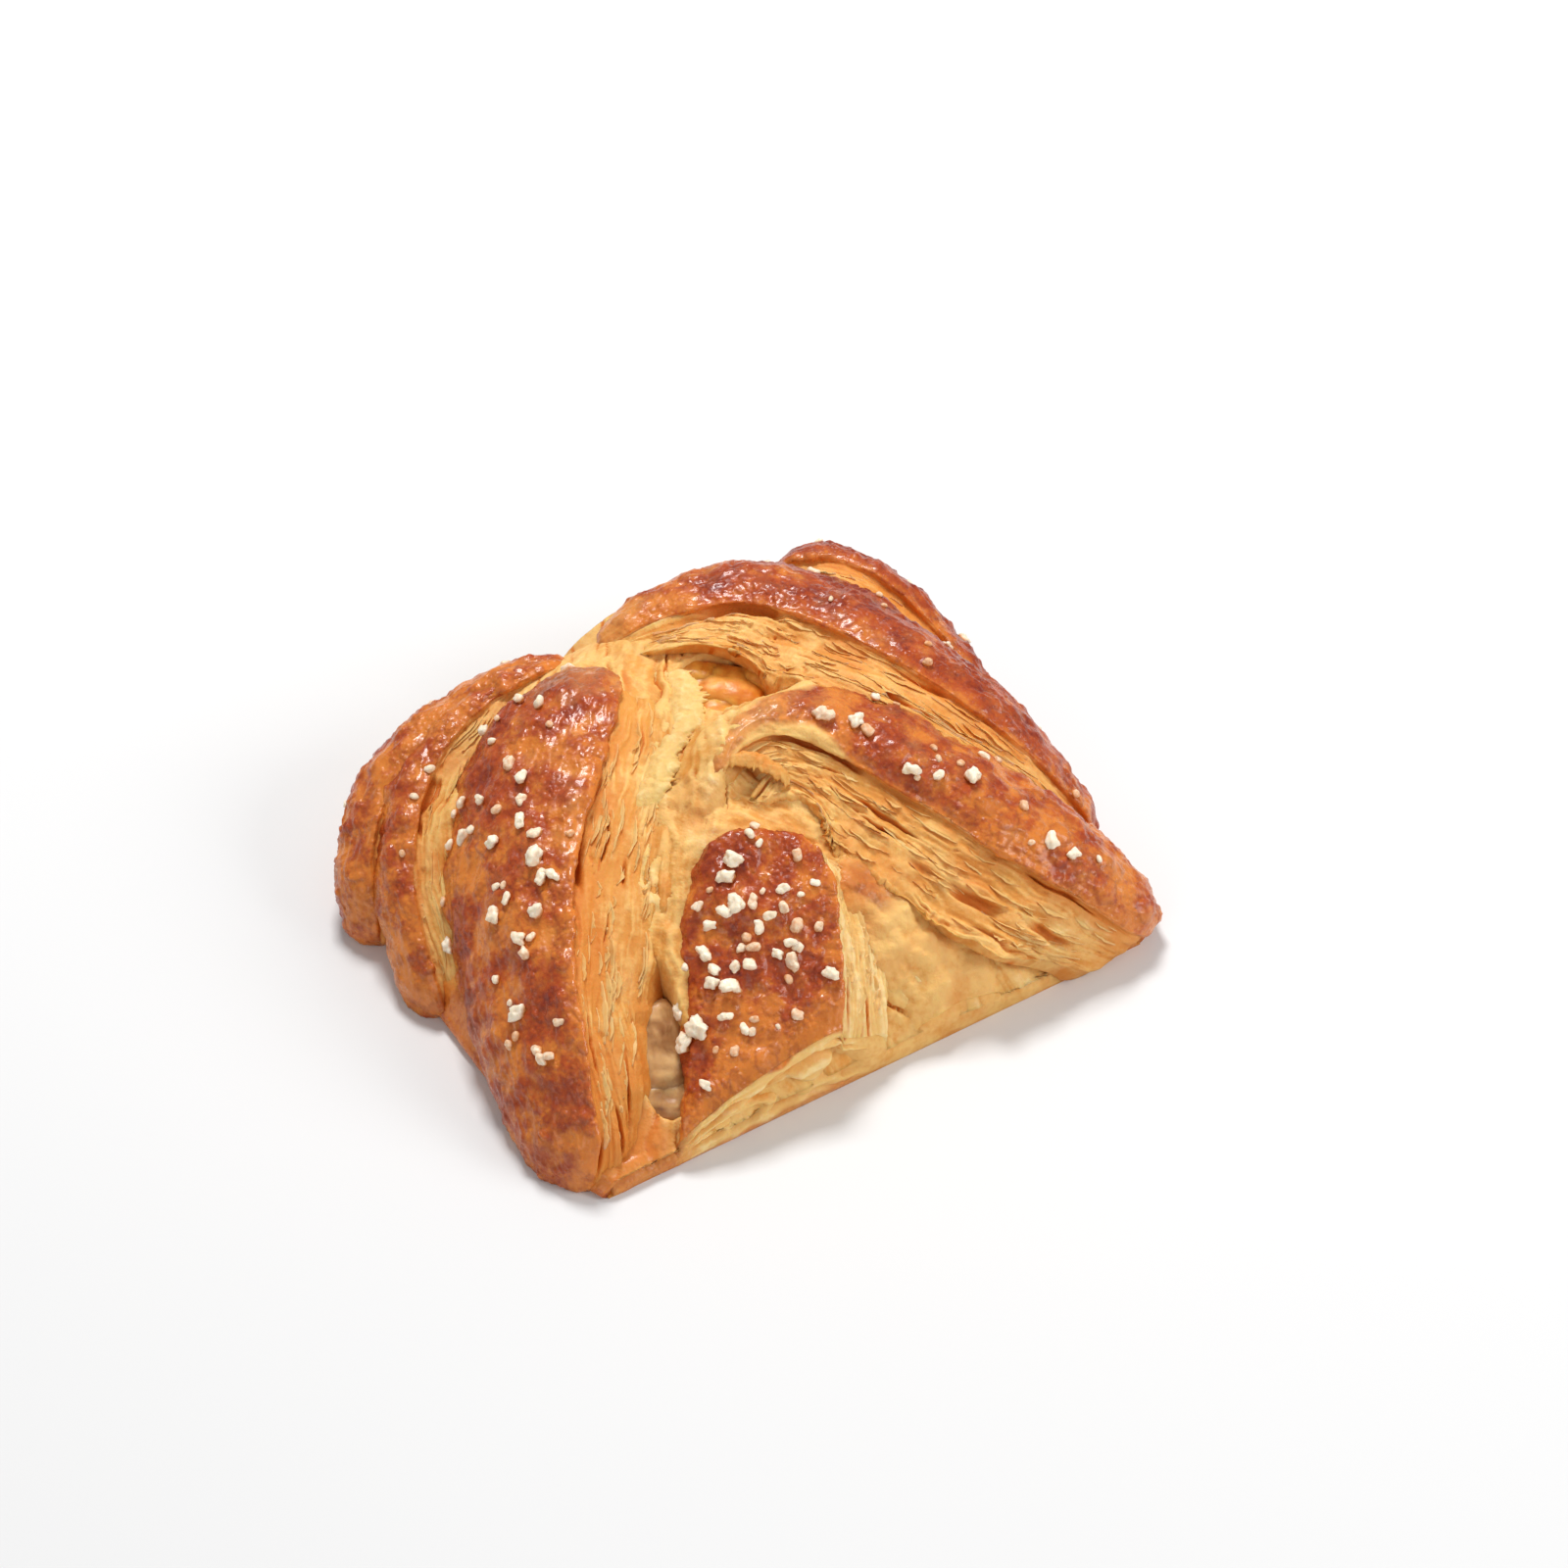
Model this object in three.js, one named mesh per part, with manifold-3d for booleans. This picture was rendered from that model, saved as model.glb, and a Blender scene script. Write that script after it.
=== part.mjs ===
import * as THREE from 'three';
import { mergeVertices } from 'three/addons/utils/BufferGeometryUtils.js';
import Module from 'manifold-3d';

// Apple pastry braid: a portion of puff pastry about 12 cm wide. Strips of dough from both sides lie
// over an apple filling like shingles and meet in the middle of the back.
// Millimetres, +Z up. +X is across the braid and +Y runs from the cut front end to the back.
// The underside is the ground, and the group is moved at the end so that the origin is under its middle.

// Mound of dough under the strips.
const moundTop = 33;              // height of the dough under the strips at its highest
const moundHalfWidth = 59.5;      // where the mound's slope would meet the ground at the sides
const moundMiddle = 8;            // y of the highest line across
const moundFront = 50;            // reach of the slope towards the front
const moundBack = 48;             // reach of the slope towards the back
const frontCut = -40;             // y of the flat cut at the front
const frontLip = 1.5;             // how far the uncut strips may stand out in front of it
const backCut = 52;               // y of the flat cut at the back
const sheetHalfWidth = 56;        // half width of the dough sheet on the ground
const sheetEdge = 4;              // its thickness at the edge
const backRounding = 12;          // how far the sheet draws in at its back corners
const frontRounding = 4;          // and at its front corners
const moundColumns = 30;
const moundRows = 22;

// Apple filling, and the space left for it in the dough.
const skinOverFilling = 4;        // dough over the filling
const fillingFloor = 3;           // dough under the filling
const fillingRim = 5;             // height of the filling at its edge
const fillingGap = 0.3;           // clearance all round the filling
const longestFillingReach = 37;   // from the mound's middle
const fillingRays = 40;
const fillingRings = 8;

// Where the braid is open and the filling shows.
const backWindow = { x: 9, y: 21, halfLength: 7.5, halfWidth: 5.5, turn: 20 };
const frontWindow = { x: -33.5, y: -29, halfLength: 8, halfWidth: 2.6, turn: 58 };

// Strips. The crest runs from the strip's outer end to its end at the middle. The other lists run the
// same way: how far the browned crust reaches behind and in front of the crest and how far it falls
// there, then the width of the layered cut face in front of it and how deep its foot lies.
const strips = [
  { // lobe at the back left corner
    side: 1,
    crest: [[-61, 28, 2], [-58.5, 38.5, 11], [-50, 47, 18], [-36, 50.5, 24], [-22, 50, 28], [-9, 47, 29.5]],
    back: [3, 5, 6, 6, 6, 3], backFall: [2, 4, 5, 5, 4, 2],
    front: [4, 7, 7, 6, 5, 3], frontFall: [1, 1.5, 2, 2, 1.5, 1],
    face: [2, 3, 3, 3, 3, 2], faceDrop: [4, 5, 5, 5, 5, 4],
  },
  { // narrow strip beside it
    side: 1,
    crest: [[-59.5, 8, 1.5], [-58, 17, 9], [-55, 26.5, 15], [-48, 36.5, 21],
      [-36, 44, 26], [-22, 47, 29], [-10, 46, 30.5]],
    back: [5, 6, 7, 6, 4, 3, 2], backFall: [1, 2, 3, 2, 2, 1, 1],
    front: [4, 4, 4, 4, 3, 2, 2], frontFall: [1, 1, 1.5, 1.5, 1, 1, 1],
    face: [3, 5, 5, 5, 4, 4, 3], faceDrop: [4, 5, 5, 5, 5, 4, 4],
  },
  { // the long wide strip on the left
    side: 1,
    crest: [[-57.5, -38, 2], [-55.5, -26, 11], [-51, -11, 19], [-43, 4, 27],
      [-31.5, 17, 33], [-19, 29, 36], [-7, 36, 35.5]],
    back: [5, 11, 16, 19, 18, 14, 6], backFall: [1, 3, 5, 6, 6, 4, 2],
    front: [5, 9, 11, 10.5, 10, 10, 6], frontFall: [1.5, 2, 2, 3, 2.5, 2, 1],
    face: [3, 4.5, 6, 10, 12, 11, 6], faceDrop: [7, 11, 14, 13, 10, 8, 6],
  },
  { // broad tongue at the front, cut off by the front end
    side: 1, cutOff: true, thickness: 14,
    crest: [[-41, -52, 0], [-31, -42, 9], [-21, -32, 18], [-11.5, -21.5, 28], [-4, -12, 35]],
    back: [8, 8, 11.5, 13, 9], backFall: [2, 2, 3, 3, 2],
    front: [13, 13, 14.5, 12, 7], frontFall: [2.5, 2.5, 2, 1, 1],
    face: [6, 7, 8, 8, 5], faceDrop: [8, 9, 10.5, 11, 8],
  },
  { // stub of the next strip on the right, cut off by the front end
    side: -1, cutOff: true,
    crest: [[28, -50, -3], [22, -41, 6], [17, -33, 16], [11, -25, 24], [5, -18, 29]],
    back: [7, 7, 7, 6, 4], backFall: [2, 2, 2, 2, 2],
    front: [7, 7, 7, 5, 3], frontFall: [1.5, 1.5, 2, 2, 1.5],
    face: [3, 3, 3, 3, 2], faceDrop: [5, 5, 5, 5, 5],
  },
  { // right front strip, whose end hooks over the tip of the broad tongue
    side: -1,
    crest: [[58.5, -39, 4], [48.5, -28.5, 19], [38, -18, 28.5], [28, -6.5, 34.5],
      [16, 4, 38.5], [3, 6.5, 40], [-8, 1.5, 37]],
    back: [5, 6, 7, 9, 8, 5, 2], backFall: [1, 1.5, 2, 3, 3, 2, 1],
    front: [10, 13, 11, 10, 7, 3, 2], frontFall: [5, 6.5, 6, 4.5, 2.5, 1.5, 1],
    face: [4, 4, 6, 11, 14, 11, 6], faceDrop: [16, 20, 18, 14, 11, 8, 6],
  },
  { // right back strip, the longest, with the widest cut face
    side: -1, smoothing: 0.4,
    crest: [[61.5, -17, 3], [54.5, -4, 20], [46.5, 13, 30], [37.5, 31.5, 34],
      [25, 43, 35.5], [10, 47, 34], [-4, 47, 30.5]],
    back: [4, 6, 8, 9, 8, 6, 3], backFall: [1, 3, 5, 6, 6, 4, 2],
    front: [4, 9, 12, 12, 10, 7, 3], frontFall: [1, 3, 4, 4, 3, 2, 1],
    face: [10, 9, 9, 10, 13, 15, 9], faceDrop: [5, 8, 11, 13, 13, 12, 9],
  },
  { // lobe at the back right corner
    side: -1,
    crest: [[61.5, 7, 2], [59.5, 21, 16], [54, 36, 25], [46, 46.5, 28], [36, 51.5, 27]],
    back: [3, 5, 6, 6, 4], backFall: [1, 3, 4, 4, 2],
    front: [3, 6, 7, 6, 4], frontFall: [1, 1.5, 2, 2, 1],
    face: [3, 4, 5, 4, 3], faceDrop: [5, 6, 6, 6, 5],
  },
];
const stripThickness = 9;         // dough of a strip below its crust, where it states no other
const underFoot = 5;              // dough of a strip below the foot of its cut face
const stripStations = 18;         // cross-sections along a strip
const endRounding = 0.07;         // share of a strip's length over which its end rounds off
const tongueRounding = 0.07;      // the same for the short strips that the front end cuts off
const stripSmoothing = 0.3;       // share of the length over which its lean is evened out

// A strip leans outwards with the surface that it lies on.
const lean = { halfWidth: 60, halfLength: 52, middle: 6, across: 1.25, along: 0.55, up: 0.75, power: 2.2 };

const crustColour = 0xa9541c;
const fillingColour = 0xd9962f;

const manifoldLibrary = await Module();
manifoldLibrary.setup();

const clamp01 = (value) => THREE.MathUtils.clamp(value, 0, 1);

// Catmull-Rom through a list of numbers that are evenly spaced from 0 to 1.
function valueAlong(list, t) {
  const points = list.map((value, i) => new THREE.Vector3(i, value, 0));
  return new THREE.CatmullRomCurve3(points, false, 'catmullrom', 0.5).getPoint(t).y;
}

function leanNormal(p) {
  const across = p.x / lean.halfWidth;
  const along = (p.y - lean.middle) / lean.halfLength;
  return new THREE.Vector3(
    lean.across * Math.sign(across) * Math.abs(across) ** lean.power,
    lean.along * Math.sign(along) * Math.abs(along) ** lean.power,
    lean.up,
  ).normalize();
}

// Closed cross-section of a strip as [forward, up] pairs, from the hidden back round over the crust
// and down the cut face to the hidden underside.
function stripSection(strip, t) {
  const back = valueAlong(strip.back, t);
  const backFall = valueAlong(strip.backFall, t);
  const front = valueAlong(strip.front, t);
  const frontFall = valueAlong(strip.frontFall, t);
  const face = valueAlong(strip.face, t);
  const drop = valueAlong(strip.faceDrop, t);
  const thickness = strip.thickness ?? stripThickness;
  const section = [
    [-back * 0.7, -backFall - thickness],
    [-back * 1.03, -backFall - thickness * 0.5],
  ];
  for (const share of [1, 0.75, 0.5, 0.25]) {
    section.push([-back * share, -backFall * share ** 2.2]);
  }
  for (const share of [0, 0.3, 0.6, 0.85]) {
    section.push([front * share, -frontFall * share ** 2.4]);
  }
  section.push([front, -frontFall - 0.2]);
  section.push([front + 0.3, -frontFall - 0.9]);
  const slope = drop - frontFall - 1;
  for (const share of [0.15, 0.45, 0.75, 1]) {
    section.push([front + face * share, -frontFall - 1 - slope * share ** 0.9]);
  }
  section.push([front + face - 0.5, -drop - underFoot]);
  section.push([front + face * 0.5, -drop - underFoot - 1.5]);
  section.push([front * 0.3, -frontFall - thickness]);
  return section;
}

// Scale of the cross-section near the two ends, so that they round off.
function endScale(strip, share) {
  const [atStart, atEnd] = strip.cutOff ? [0, tongueRounding] : [endRounding, endRounding];
  let scale = 1;
  for (const [reach, distance] of [[atStart, share], [atEnd, 1 - share]]) {
    if (reach > 0) scale *= Math.sqrt(1 - (1 - clamp01(distance / reach)) ** 2 * 0.93);
  }
  return scale;
}

// The directions across a strip, averaged with their neighbours so that a bend doesn't fold it.
function evenedDirections(directions, reach) {
  return directions.map((_, i) => {
    const sum = new THREE.Vector3();
    for (let k = -reach; k <= reach; k++) {
      const j = THREE.MathUtils.clamp(i + k, 0, directions.length - 1);
      sum.addScaledVector(directions[j], 1 + Math.cos((Math.PI * k) / (reach + 1)));
    }
    return sum.normalize();
  });
}

// Rings of points to a closed body with a fan over each end.
function loft(rings) {
  const count = rings[0].length;
  const positions = rings.flat().flatMap((p) => [p.x, p.y, p.z]);
  const index = [];
  for (let i = 0; i < rings.length - 1; i++) {
    for (let j = 0; j < count; j++) {
      const a = i * count + j;
      const b = i * count + ((j + 1) % count);
      index.push(a, b, a + count, b, b + count, a + count);
    }
  }
  const last = rings.length - 1;
  for (const [ring, first, flip] of [[rings[0], 0, false], [rings[last], last * count, true]]) {
    const middle = ring.reduce((sum, p) => sum.add(p), new THREE.Vector3()).divideScalar(count);
    const hub = positions.length / 3;
    positions.push(middle.x, middle.y, middle.z);
    for (let j = 0; j < count; j++) {
      const a = first + j;
      const b = first + ((j + 1) % count);
      index.push(...(flip ? [hub, a, b] : [hub, b, a]));
    }
  }
  const geometry = new THREE.BufferGeometry();
  geometry.setAttribute('position', new THREE.Float32BufferAttribute(positions, 3));
  geometry.setIndex(index);
  return geometry;
}

function stripGeometry(strip) {
  const curve = new THREE.CatmullRomCurve3(
    strip.crest.map((p) => new THREE.Vector3(...p)), false, 'catmullrom', 0.5,
  );
  const stations = [];
  for (let i = 0; i < stripStations; i++) {
    const share = i / (stripStations - 1);
    const t = curve.getUtoTmapping(share);
    const middle = curve.getPoint(t);
    const ahead = curve.getTangentAt(share);
    const forward = ahead.clone().cross(leanNormal(middle)).normalize().multiplyScalar(strip.side);
    stations.push({ share, t, middle, forward, normal: leanNormal(middle) });
  }
  const reach = Math.round((stripStations * (strip.smoothing ?? stripSmoothing)) / 2);
  const forwards = evenedDirections(stations.map((s) => s.forward), reach);
  const rings = stations.map((station, i) => {
    const forward = forwards[i];
    const up = station.normal.addScaledVector(forward, -station.normal.dot(forward)).normalize();
    const scale = endScale(strip, station.share);
    const pivot = -stripThickness / 2;
    return stripSection(strip, station.t).map(([along, rise]) => station.middle.clone()
      .addScaledVector(forward, along * scale)
      .addScaledVector(up, pivot + (rise - pivot) * scale));
  });
  if (strip.side < 0) rings.forEach((ring) => ring.reverse());
  return loft(rings);
}

function moundHeight(x, y) {
  const across = clamp01(1 - Math.abs(x / moundHalfWidth) ** 2.2) ** 0.9;
  const front = clamp01(1 - (Math.max(moundMiddle - y, 0) / moundFront) ** 2) ** 0.8;
  const back = clamp01(1 - (Math.max(y - moundMiddle, 0) / moundBack) ** 6) ** 0.5;
  return moundTop * across * front * back;
}

// Half width of the sheet of dough on the ground at a distance along the braid.
function sheetWidthAt(y) {
  return sheetHalfWidth
    - backRounding * clamp01((y - 30) / (backCut - 30)) ** 2.2
    - frontRounding * clamp01((-25 - y) / (-25 - frontCut)) ** 2;
}

// The mound as a closed loft of cross-sections from the front cut to the back cut.
function moundGeometry() {
  const rings = [];
  for (let row = 0; row <= moundRows; row++) {
    const y = THREE.MathUtils.lerp(frontCut, backCut, row / moundRows);
    const ring = [];
    for (let column = 0; column <= moundColumns; column++) {
      const x = sheetWidthAt(y) * (1 - (2 * column) / moundColumns);
      ring.push(new THREE.Vector3(x, y, Math.max(moundHeight(x, y), sheetEdge)));
    }
    ring.push(new THREE.Vector3(-sheetWidthAt(y), y, 0));
    ring.push(new THREE.Vector3(sheetWidthAt(y), y, 0));
    rings.push(ring.reverse());
  }
  return loft(rings);
}

// Distance from the middle at which the mound gets too low to hold filling.
function fillingReach(angle) {
  const lowest = fillingRim + skinOverFilling;
  let reach = 0;
  while (moundHeight(reach * Math.cos(angle), moundMiddle + reach * Math.sin(angle)) > lowest) {
    reach += 0.25;
  }
  return Math.min(reach, longestFillingReach);
}

// The filling fills the mound to an even depth under its skin. grow moves its whole surface outwards,
// for the space that it lies in.
function fillingGeometry(grow) {
  const rings = [[]];
  for (let step = 1; step <= fillingRings; step++) rings.push([]);
  for (let ray = 0; ray < fillingRays; ray++) {
    const angle = (2 * Math.PI * ray) / fillingRays;
    const outward = new THREE.Vector3(Math.cos(angle), Math.sin(angle), 0);
    const reach = fillingReach(angle);
    const edge = outward.clone().multiplyScalar(reach + grow);
    rings[0].push(new THREE.Vector3(edge.x, edge.y + moundMiddle, fillingFloor - grow));
    for (let step = fillingRings; step >= 1; step--) {
      const p = outward.clone().multiplyScalar((reach * step) / fillingRings);
      p.y += moundMiddle;
      p.z = Math.max(moundHeight(p.x, p.y) - skinOverFilling, fillingRim) + grow;
      rings[fillingRings + 1 - step].push(p.addScaledVector(outward, grow));
    }
  }
  return loft(rings);
}

// An upright oval prism through the top of the braid, down into the filling's space.
function windowGeometry({ x, y, halfLength, halfWidth, turn }) {
  const outline = new THREE.Shape();
  outline.absellipse(0, 0, halfLength, halfWidth, 0, 2 * Math.PI, false, 0);
  const prism = new THREE.ExtrudeGeometry(outline, { depth: 60, bevelEnabled: false, curveSegments: 12 });
  prism.rotateZ(THREE.MathUtils.degToRad(turn));
  prism.translate(x, y, fillingFloor + 2);
  return prism;
}

function solid(geometry) {
  const bare = geometry.clone();
  bare.deleteAttribute('normal');
  bare.deleteAttribute('uv');
  const merged = mergeVertices(bare, 1e-4);
  return new manifoldLibrary.Manifold(new manifoldLibrary.Mesh({
    numProp: 3,
    vertProperties: new Float32Array(merged.attributes.position.array),
    triVerts: new Uint32Array(merged.index.array),
  }));
}

function boxBetween(low, high) {
  const box = new THREE.BoxGeometry(high[0] - low[0], high[1] - low[1], high[2] - low[2]);
  box.translate((low[0] + high[0]) / 2, (low[1] + high[1]) / 2, (low[2] + high[2]) / 2);
  return solid(box);
}

function meshFrom(body, name, colour, roughness) {
  const { vertProperties, triVerts } = body.getMesh();
  const geometry = new THREE.BufferGeometry();
  geometry.setAttribute('position', new THREE.BufferAttribute(new Float32Array(vertProperties), 3));
  geometry.setIndex(new THREE.BufferAttribute(new Uint32Array(triVerts), 1));
  geometry.computeVertexNormals();
  const material = new THREE.MeshStandardMaterial({ color: colour, roughness, metalness: 0 });
  const mesh = new THREE.Mesh(geometry, material);
  mesh.name = name;
  return mesh;
}

// Everything above the ground that lies behind a distance along the braid.
const behind = (y) => boxBetween([-90, y, 0], [90, 90, 90]);

let dough = solid(moundGeometry());
for (const strip of strips) {
  const end = strip.cutOff ? frontCut : frontCut - frontLip;
  dough = dough.add(solid(stripGeometry(strip)).intersect(behind(end)));
}
dough = dough.subtract(solid(fillingGeometry(fillingGap)));
for (const opening of [backWindow, frontWindow]) {
  dough = dough.subtract(solid(windowGeometry(opening)));
}

const braid = new THREE.Group();
braid.add(meshFrom(dough, 'dough', crustColour, 0.45));
braid.add(meshFrom(solid(fillingGeometry(0)), 'apple_filling', fillingColour, 0.3));

const box = new THREE.Box3().setFromObject(braid);
for (const mesh of braid.children) {
  mesh.geometry.translate(-(box.min.x + box.max.x) / 2, -(box.min.y + box.max.y) / 2, -box.min.z);
}

export default braid;
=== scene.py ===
import itertools
import math

import bpy
import numpy as np
from mathutils import Matrix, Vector
from mathutils.kdtree import KDTree


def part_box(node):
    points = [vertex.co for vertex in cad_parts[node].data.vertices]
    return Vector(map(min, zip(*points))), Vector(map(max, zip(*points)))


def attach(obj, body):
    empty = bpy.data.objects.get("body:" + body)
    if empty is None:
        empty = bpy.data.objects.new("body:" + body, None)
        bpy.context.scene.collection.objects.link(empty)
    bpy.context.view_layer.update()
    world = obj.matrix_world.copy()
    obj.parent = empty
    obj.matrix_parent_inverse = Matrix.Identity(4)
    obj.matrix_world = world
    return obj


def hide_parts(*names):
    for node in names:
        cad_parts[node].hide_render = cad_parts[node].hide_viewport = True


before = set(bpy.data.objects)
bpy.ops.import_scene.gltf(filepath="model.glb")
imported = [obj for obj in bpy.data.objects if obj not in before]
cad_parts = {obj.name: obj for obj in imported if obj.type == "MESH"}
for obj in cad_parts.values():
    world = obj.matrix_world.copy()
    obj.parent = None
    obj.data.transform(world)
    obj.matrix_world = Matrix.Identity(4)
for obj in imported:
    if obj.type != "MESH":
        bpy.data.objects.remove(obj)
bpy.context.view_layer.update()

# Sizes are in mm, in the braid's own coordinates: +X across, +Y from the cut front to the back, +Z up.
# On a strip or a cut face, s is the distance along it, q the distance across it and t a share from 0 to 1.
moundMiddle = 8.0                       # y of the mound's highest line, over the filling's middle
fillingLow, fillingHigh = (np.array(corner) * 1000 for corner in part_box("apple_filling"))
fillingMiddle = (fillingLow + fillingHigh) / 2
toFrame = np.array([fillingMiddle[0], fillingMiddle[1] - moundMiddle, 0.0])


def latticeValue(x, y, z, seed):        # one repeatable 32-bit number for each lattice point
    h = (x.astype(np.uint32) * np.uint32(374761393) + y.astype(np.uint32) * np.uint32(668265263)
         + z.astype(np.uint32) * np.uint32(2246822519) + np.uint32((seed * 3266489917) & 0xFFFFFFFF))
    h = (h ^ (h >> np.uint32(15))) * np.uint32(2654435761)
    h = (h ^ (h >> np.uint32(13))) * np.uint32(3266489917)
    return h ^ (h >> np.uint32(16))


def noise(points, size, seed, octaves=1):   # smooth noise, about -1 to 1, with features of that size
    points = np.asarray(points, float) / size
    total = np.zeros(points.shape[:-1])
    weight, full = 1.0, 0.0
    for octave in range(octaves):
        p = points * 2.0 ** octave + 31.7 * octave
        cell = np.floor(p).astype(np.int64)
        f = p - cell
        w = f * f * f * (f * (f * 6 - 15) + 10)
        for corner in itertools.product((0, 1), repeat=3):
            h = latticeValue(cell[..., 0] + corner[0], cell[..., 1] + corner[1], cell[..., 2] + corner[2],
                             seed + 101 * octave)
            slope = ((h & 1023) / 511.5 - 1) * (f[..., 0] - corner[0])
            slope += (((h >> np.uint32(10)) & 1023) / 511.5 - 1) * (f[..., 1] - corner[1])
            slope += (((h >> np.uint32(20)) & 1023) / 511.5 - 1) * (f[..., 2] - corner[2])
            share = weight
            for axis in range(3):
                share = share * (w[..., axis] if corner[axis] else 1 - w[..., axis])
            total += share * slope
        full += weight
        weight *= 0.5
    return np.clip(total / full * 1.7, -1, 1)


def streaks(s, q, sizeAlong, sizeAcross, seed, octaves=1):  # noise drawn out along a strip
    flat = np.stack([s / sizeAlong, q / sizeAcross, np.full_like(s, seed * 7.31)], -1)
    return noise(flat, 1.0, seed, octaves)


def bubbles(points, size, seed, fill=1.0):  # round domes, 0 to 1, one in each cell
    p = np.asarray(points, float) / size
    cell = np.floor(p).astype(np.int64)
    best = np.zeros(p.shape[:-1])
    for step in itertools.product((-1, 0, 1), repeat=3):
        c = cell + np.array(step)
        h = latticeValue(c[..., 0], c[..., 1], c[..., 2], seed)
        g = latticeValue(c[..., 0], c[..., 1], c[..., 2], seed + 977)
        middle = np.stack([(h & 1023) / 1023, ((h >> np.uint32(10)) & 1023) / 1023,
                           ((h >> np.uint32(20)) & 1023) / 1023], -1)
        radius = 0.25 + 0.5 * ((g & 1023) / 1023)
        there = ((g >> np.uint32(10)) & 1023) / 1023 < fill
        away = np.sqrt((((c + middle) - p) ** 2).sum(-1))
        dome = np.sqrt(np.clip(1 - (away / radius) ** 2, 0, 1)) * radius / 0.75
        best = np.maximum(best, np.where(there, dome, 0))
    return best


def ramp(value, low, high):             # 0 below low, 1 above high, smooth between
    t = np.clip((value - low) / (high - low), 0, 1)
    return t * t * (3 - 2 * t)


def spline(a, b, c, d, f):              # Catmull-Rom from b to c, f from 0 to 1
    squared, cubed = 2 * a - 5 * b + 4 * c - d, 3 * b - a - 3 * c + d
    return 0.5 * (2 * b + (c - a) * f + squared * f ** 2 + cubed * f ** 3)


def curveAt(points, t):                 # a smooth curve through the points, t from 0 to 1
    p = np.array(points, float)
    if p.ndim == 1:
        return curveAt(p[:, None], t)[..., 0]
    t = np.clip(t, 0, 1) * (len(p) - 1)
    i = np.minimum(t.astype(int), len(p) - 2)
    f = (t - i)[..., None]
    p = np.vstack([2 * p[0] - p[1], p, 2 * p[-1] - p[-2]])
    return spline(p[i], p[i + 1], p[i + 2], p[i + 3], f)


def runAlong(points):                   # distance from the first point, at each point
    return np.concatenate([[0], np.cumsum(np.linalg.norm(np.diff(points, axis=0), axis=1))])


def unit(v):
    return v / np.maximum(np.linalg.norm(v, axis=-1, keepdims=True), 1e-9)


def gridNormals(grid):
    return unit(np.cross(np.gradient(grid, axis=1), np.gradient(grid, axis=0)))


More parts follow.
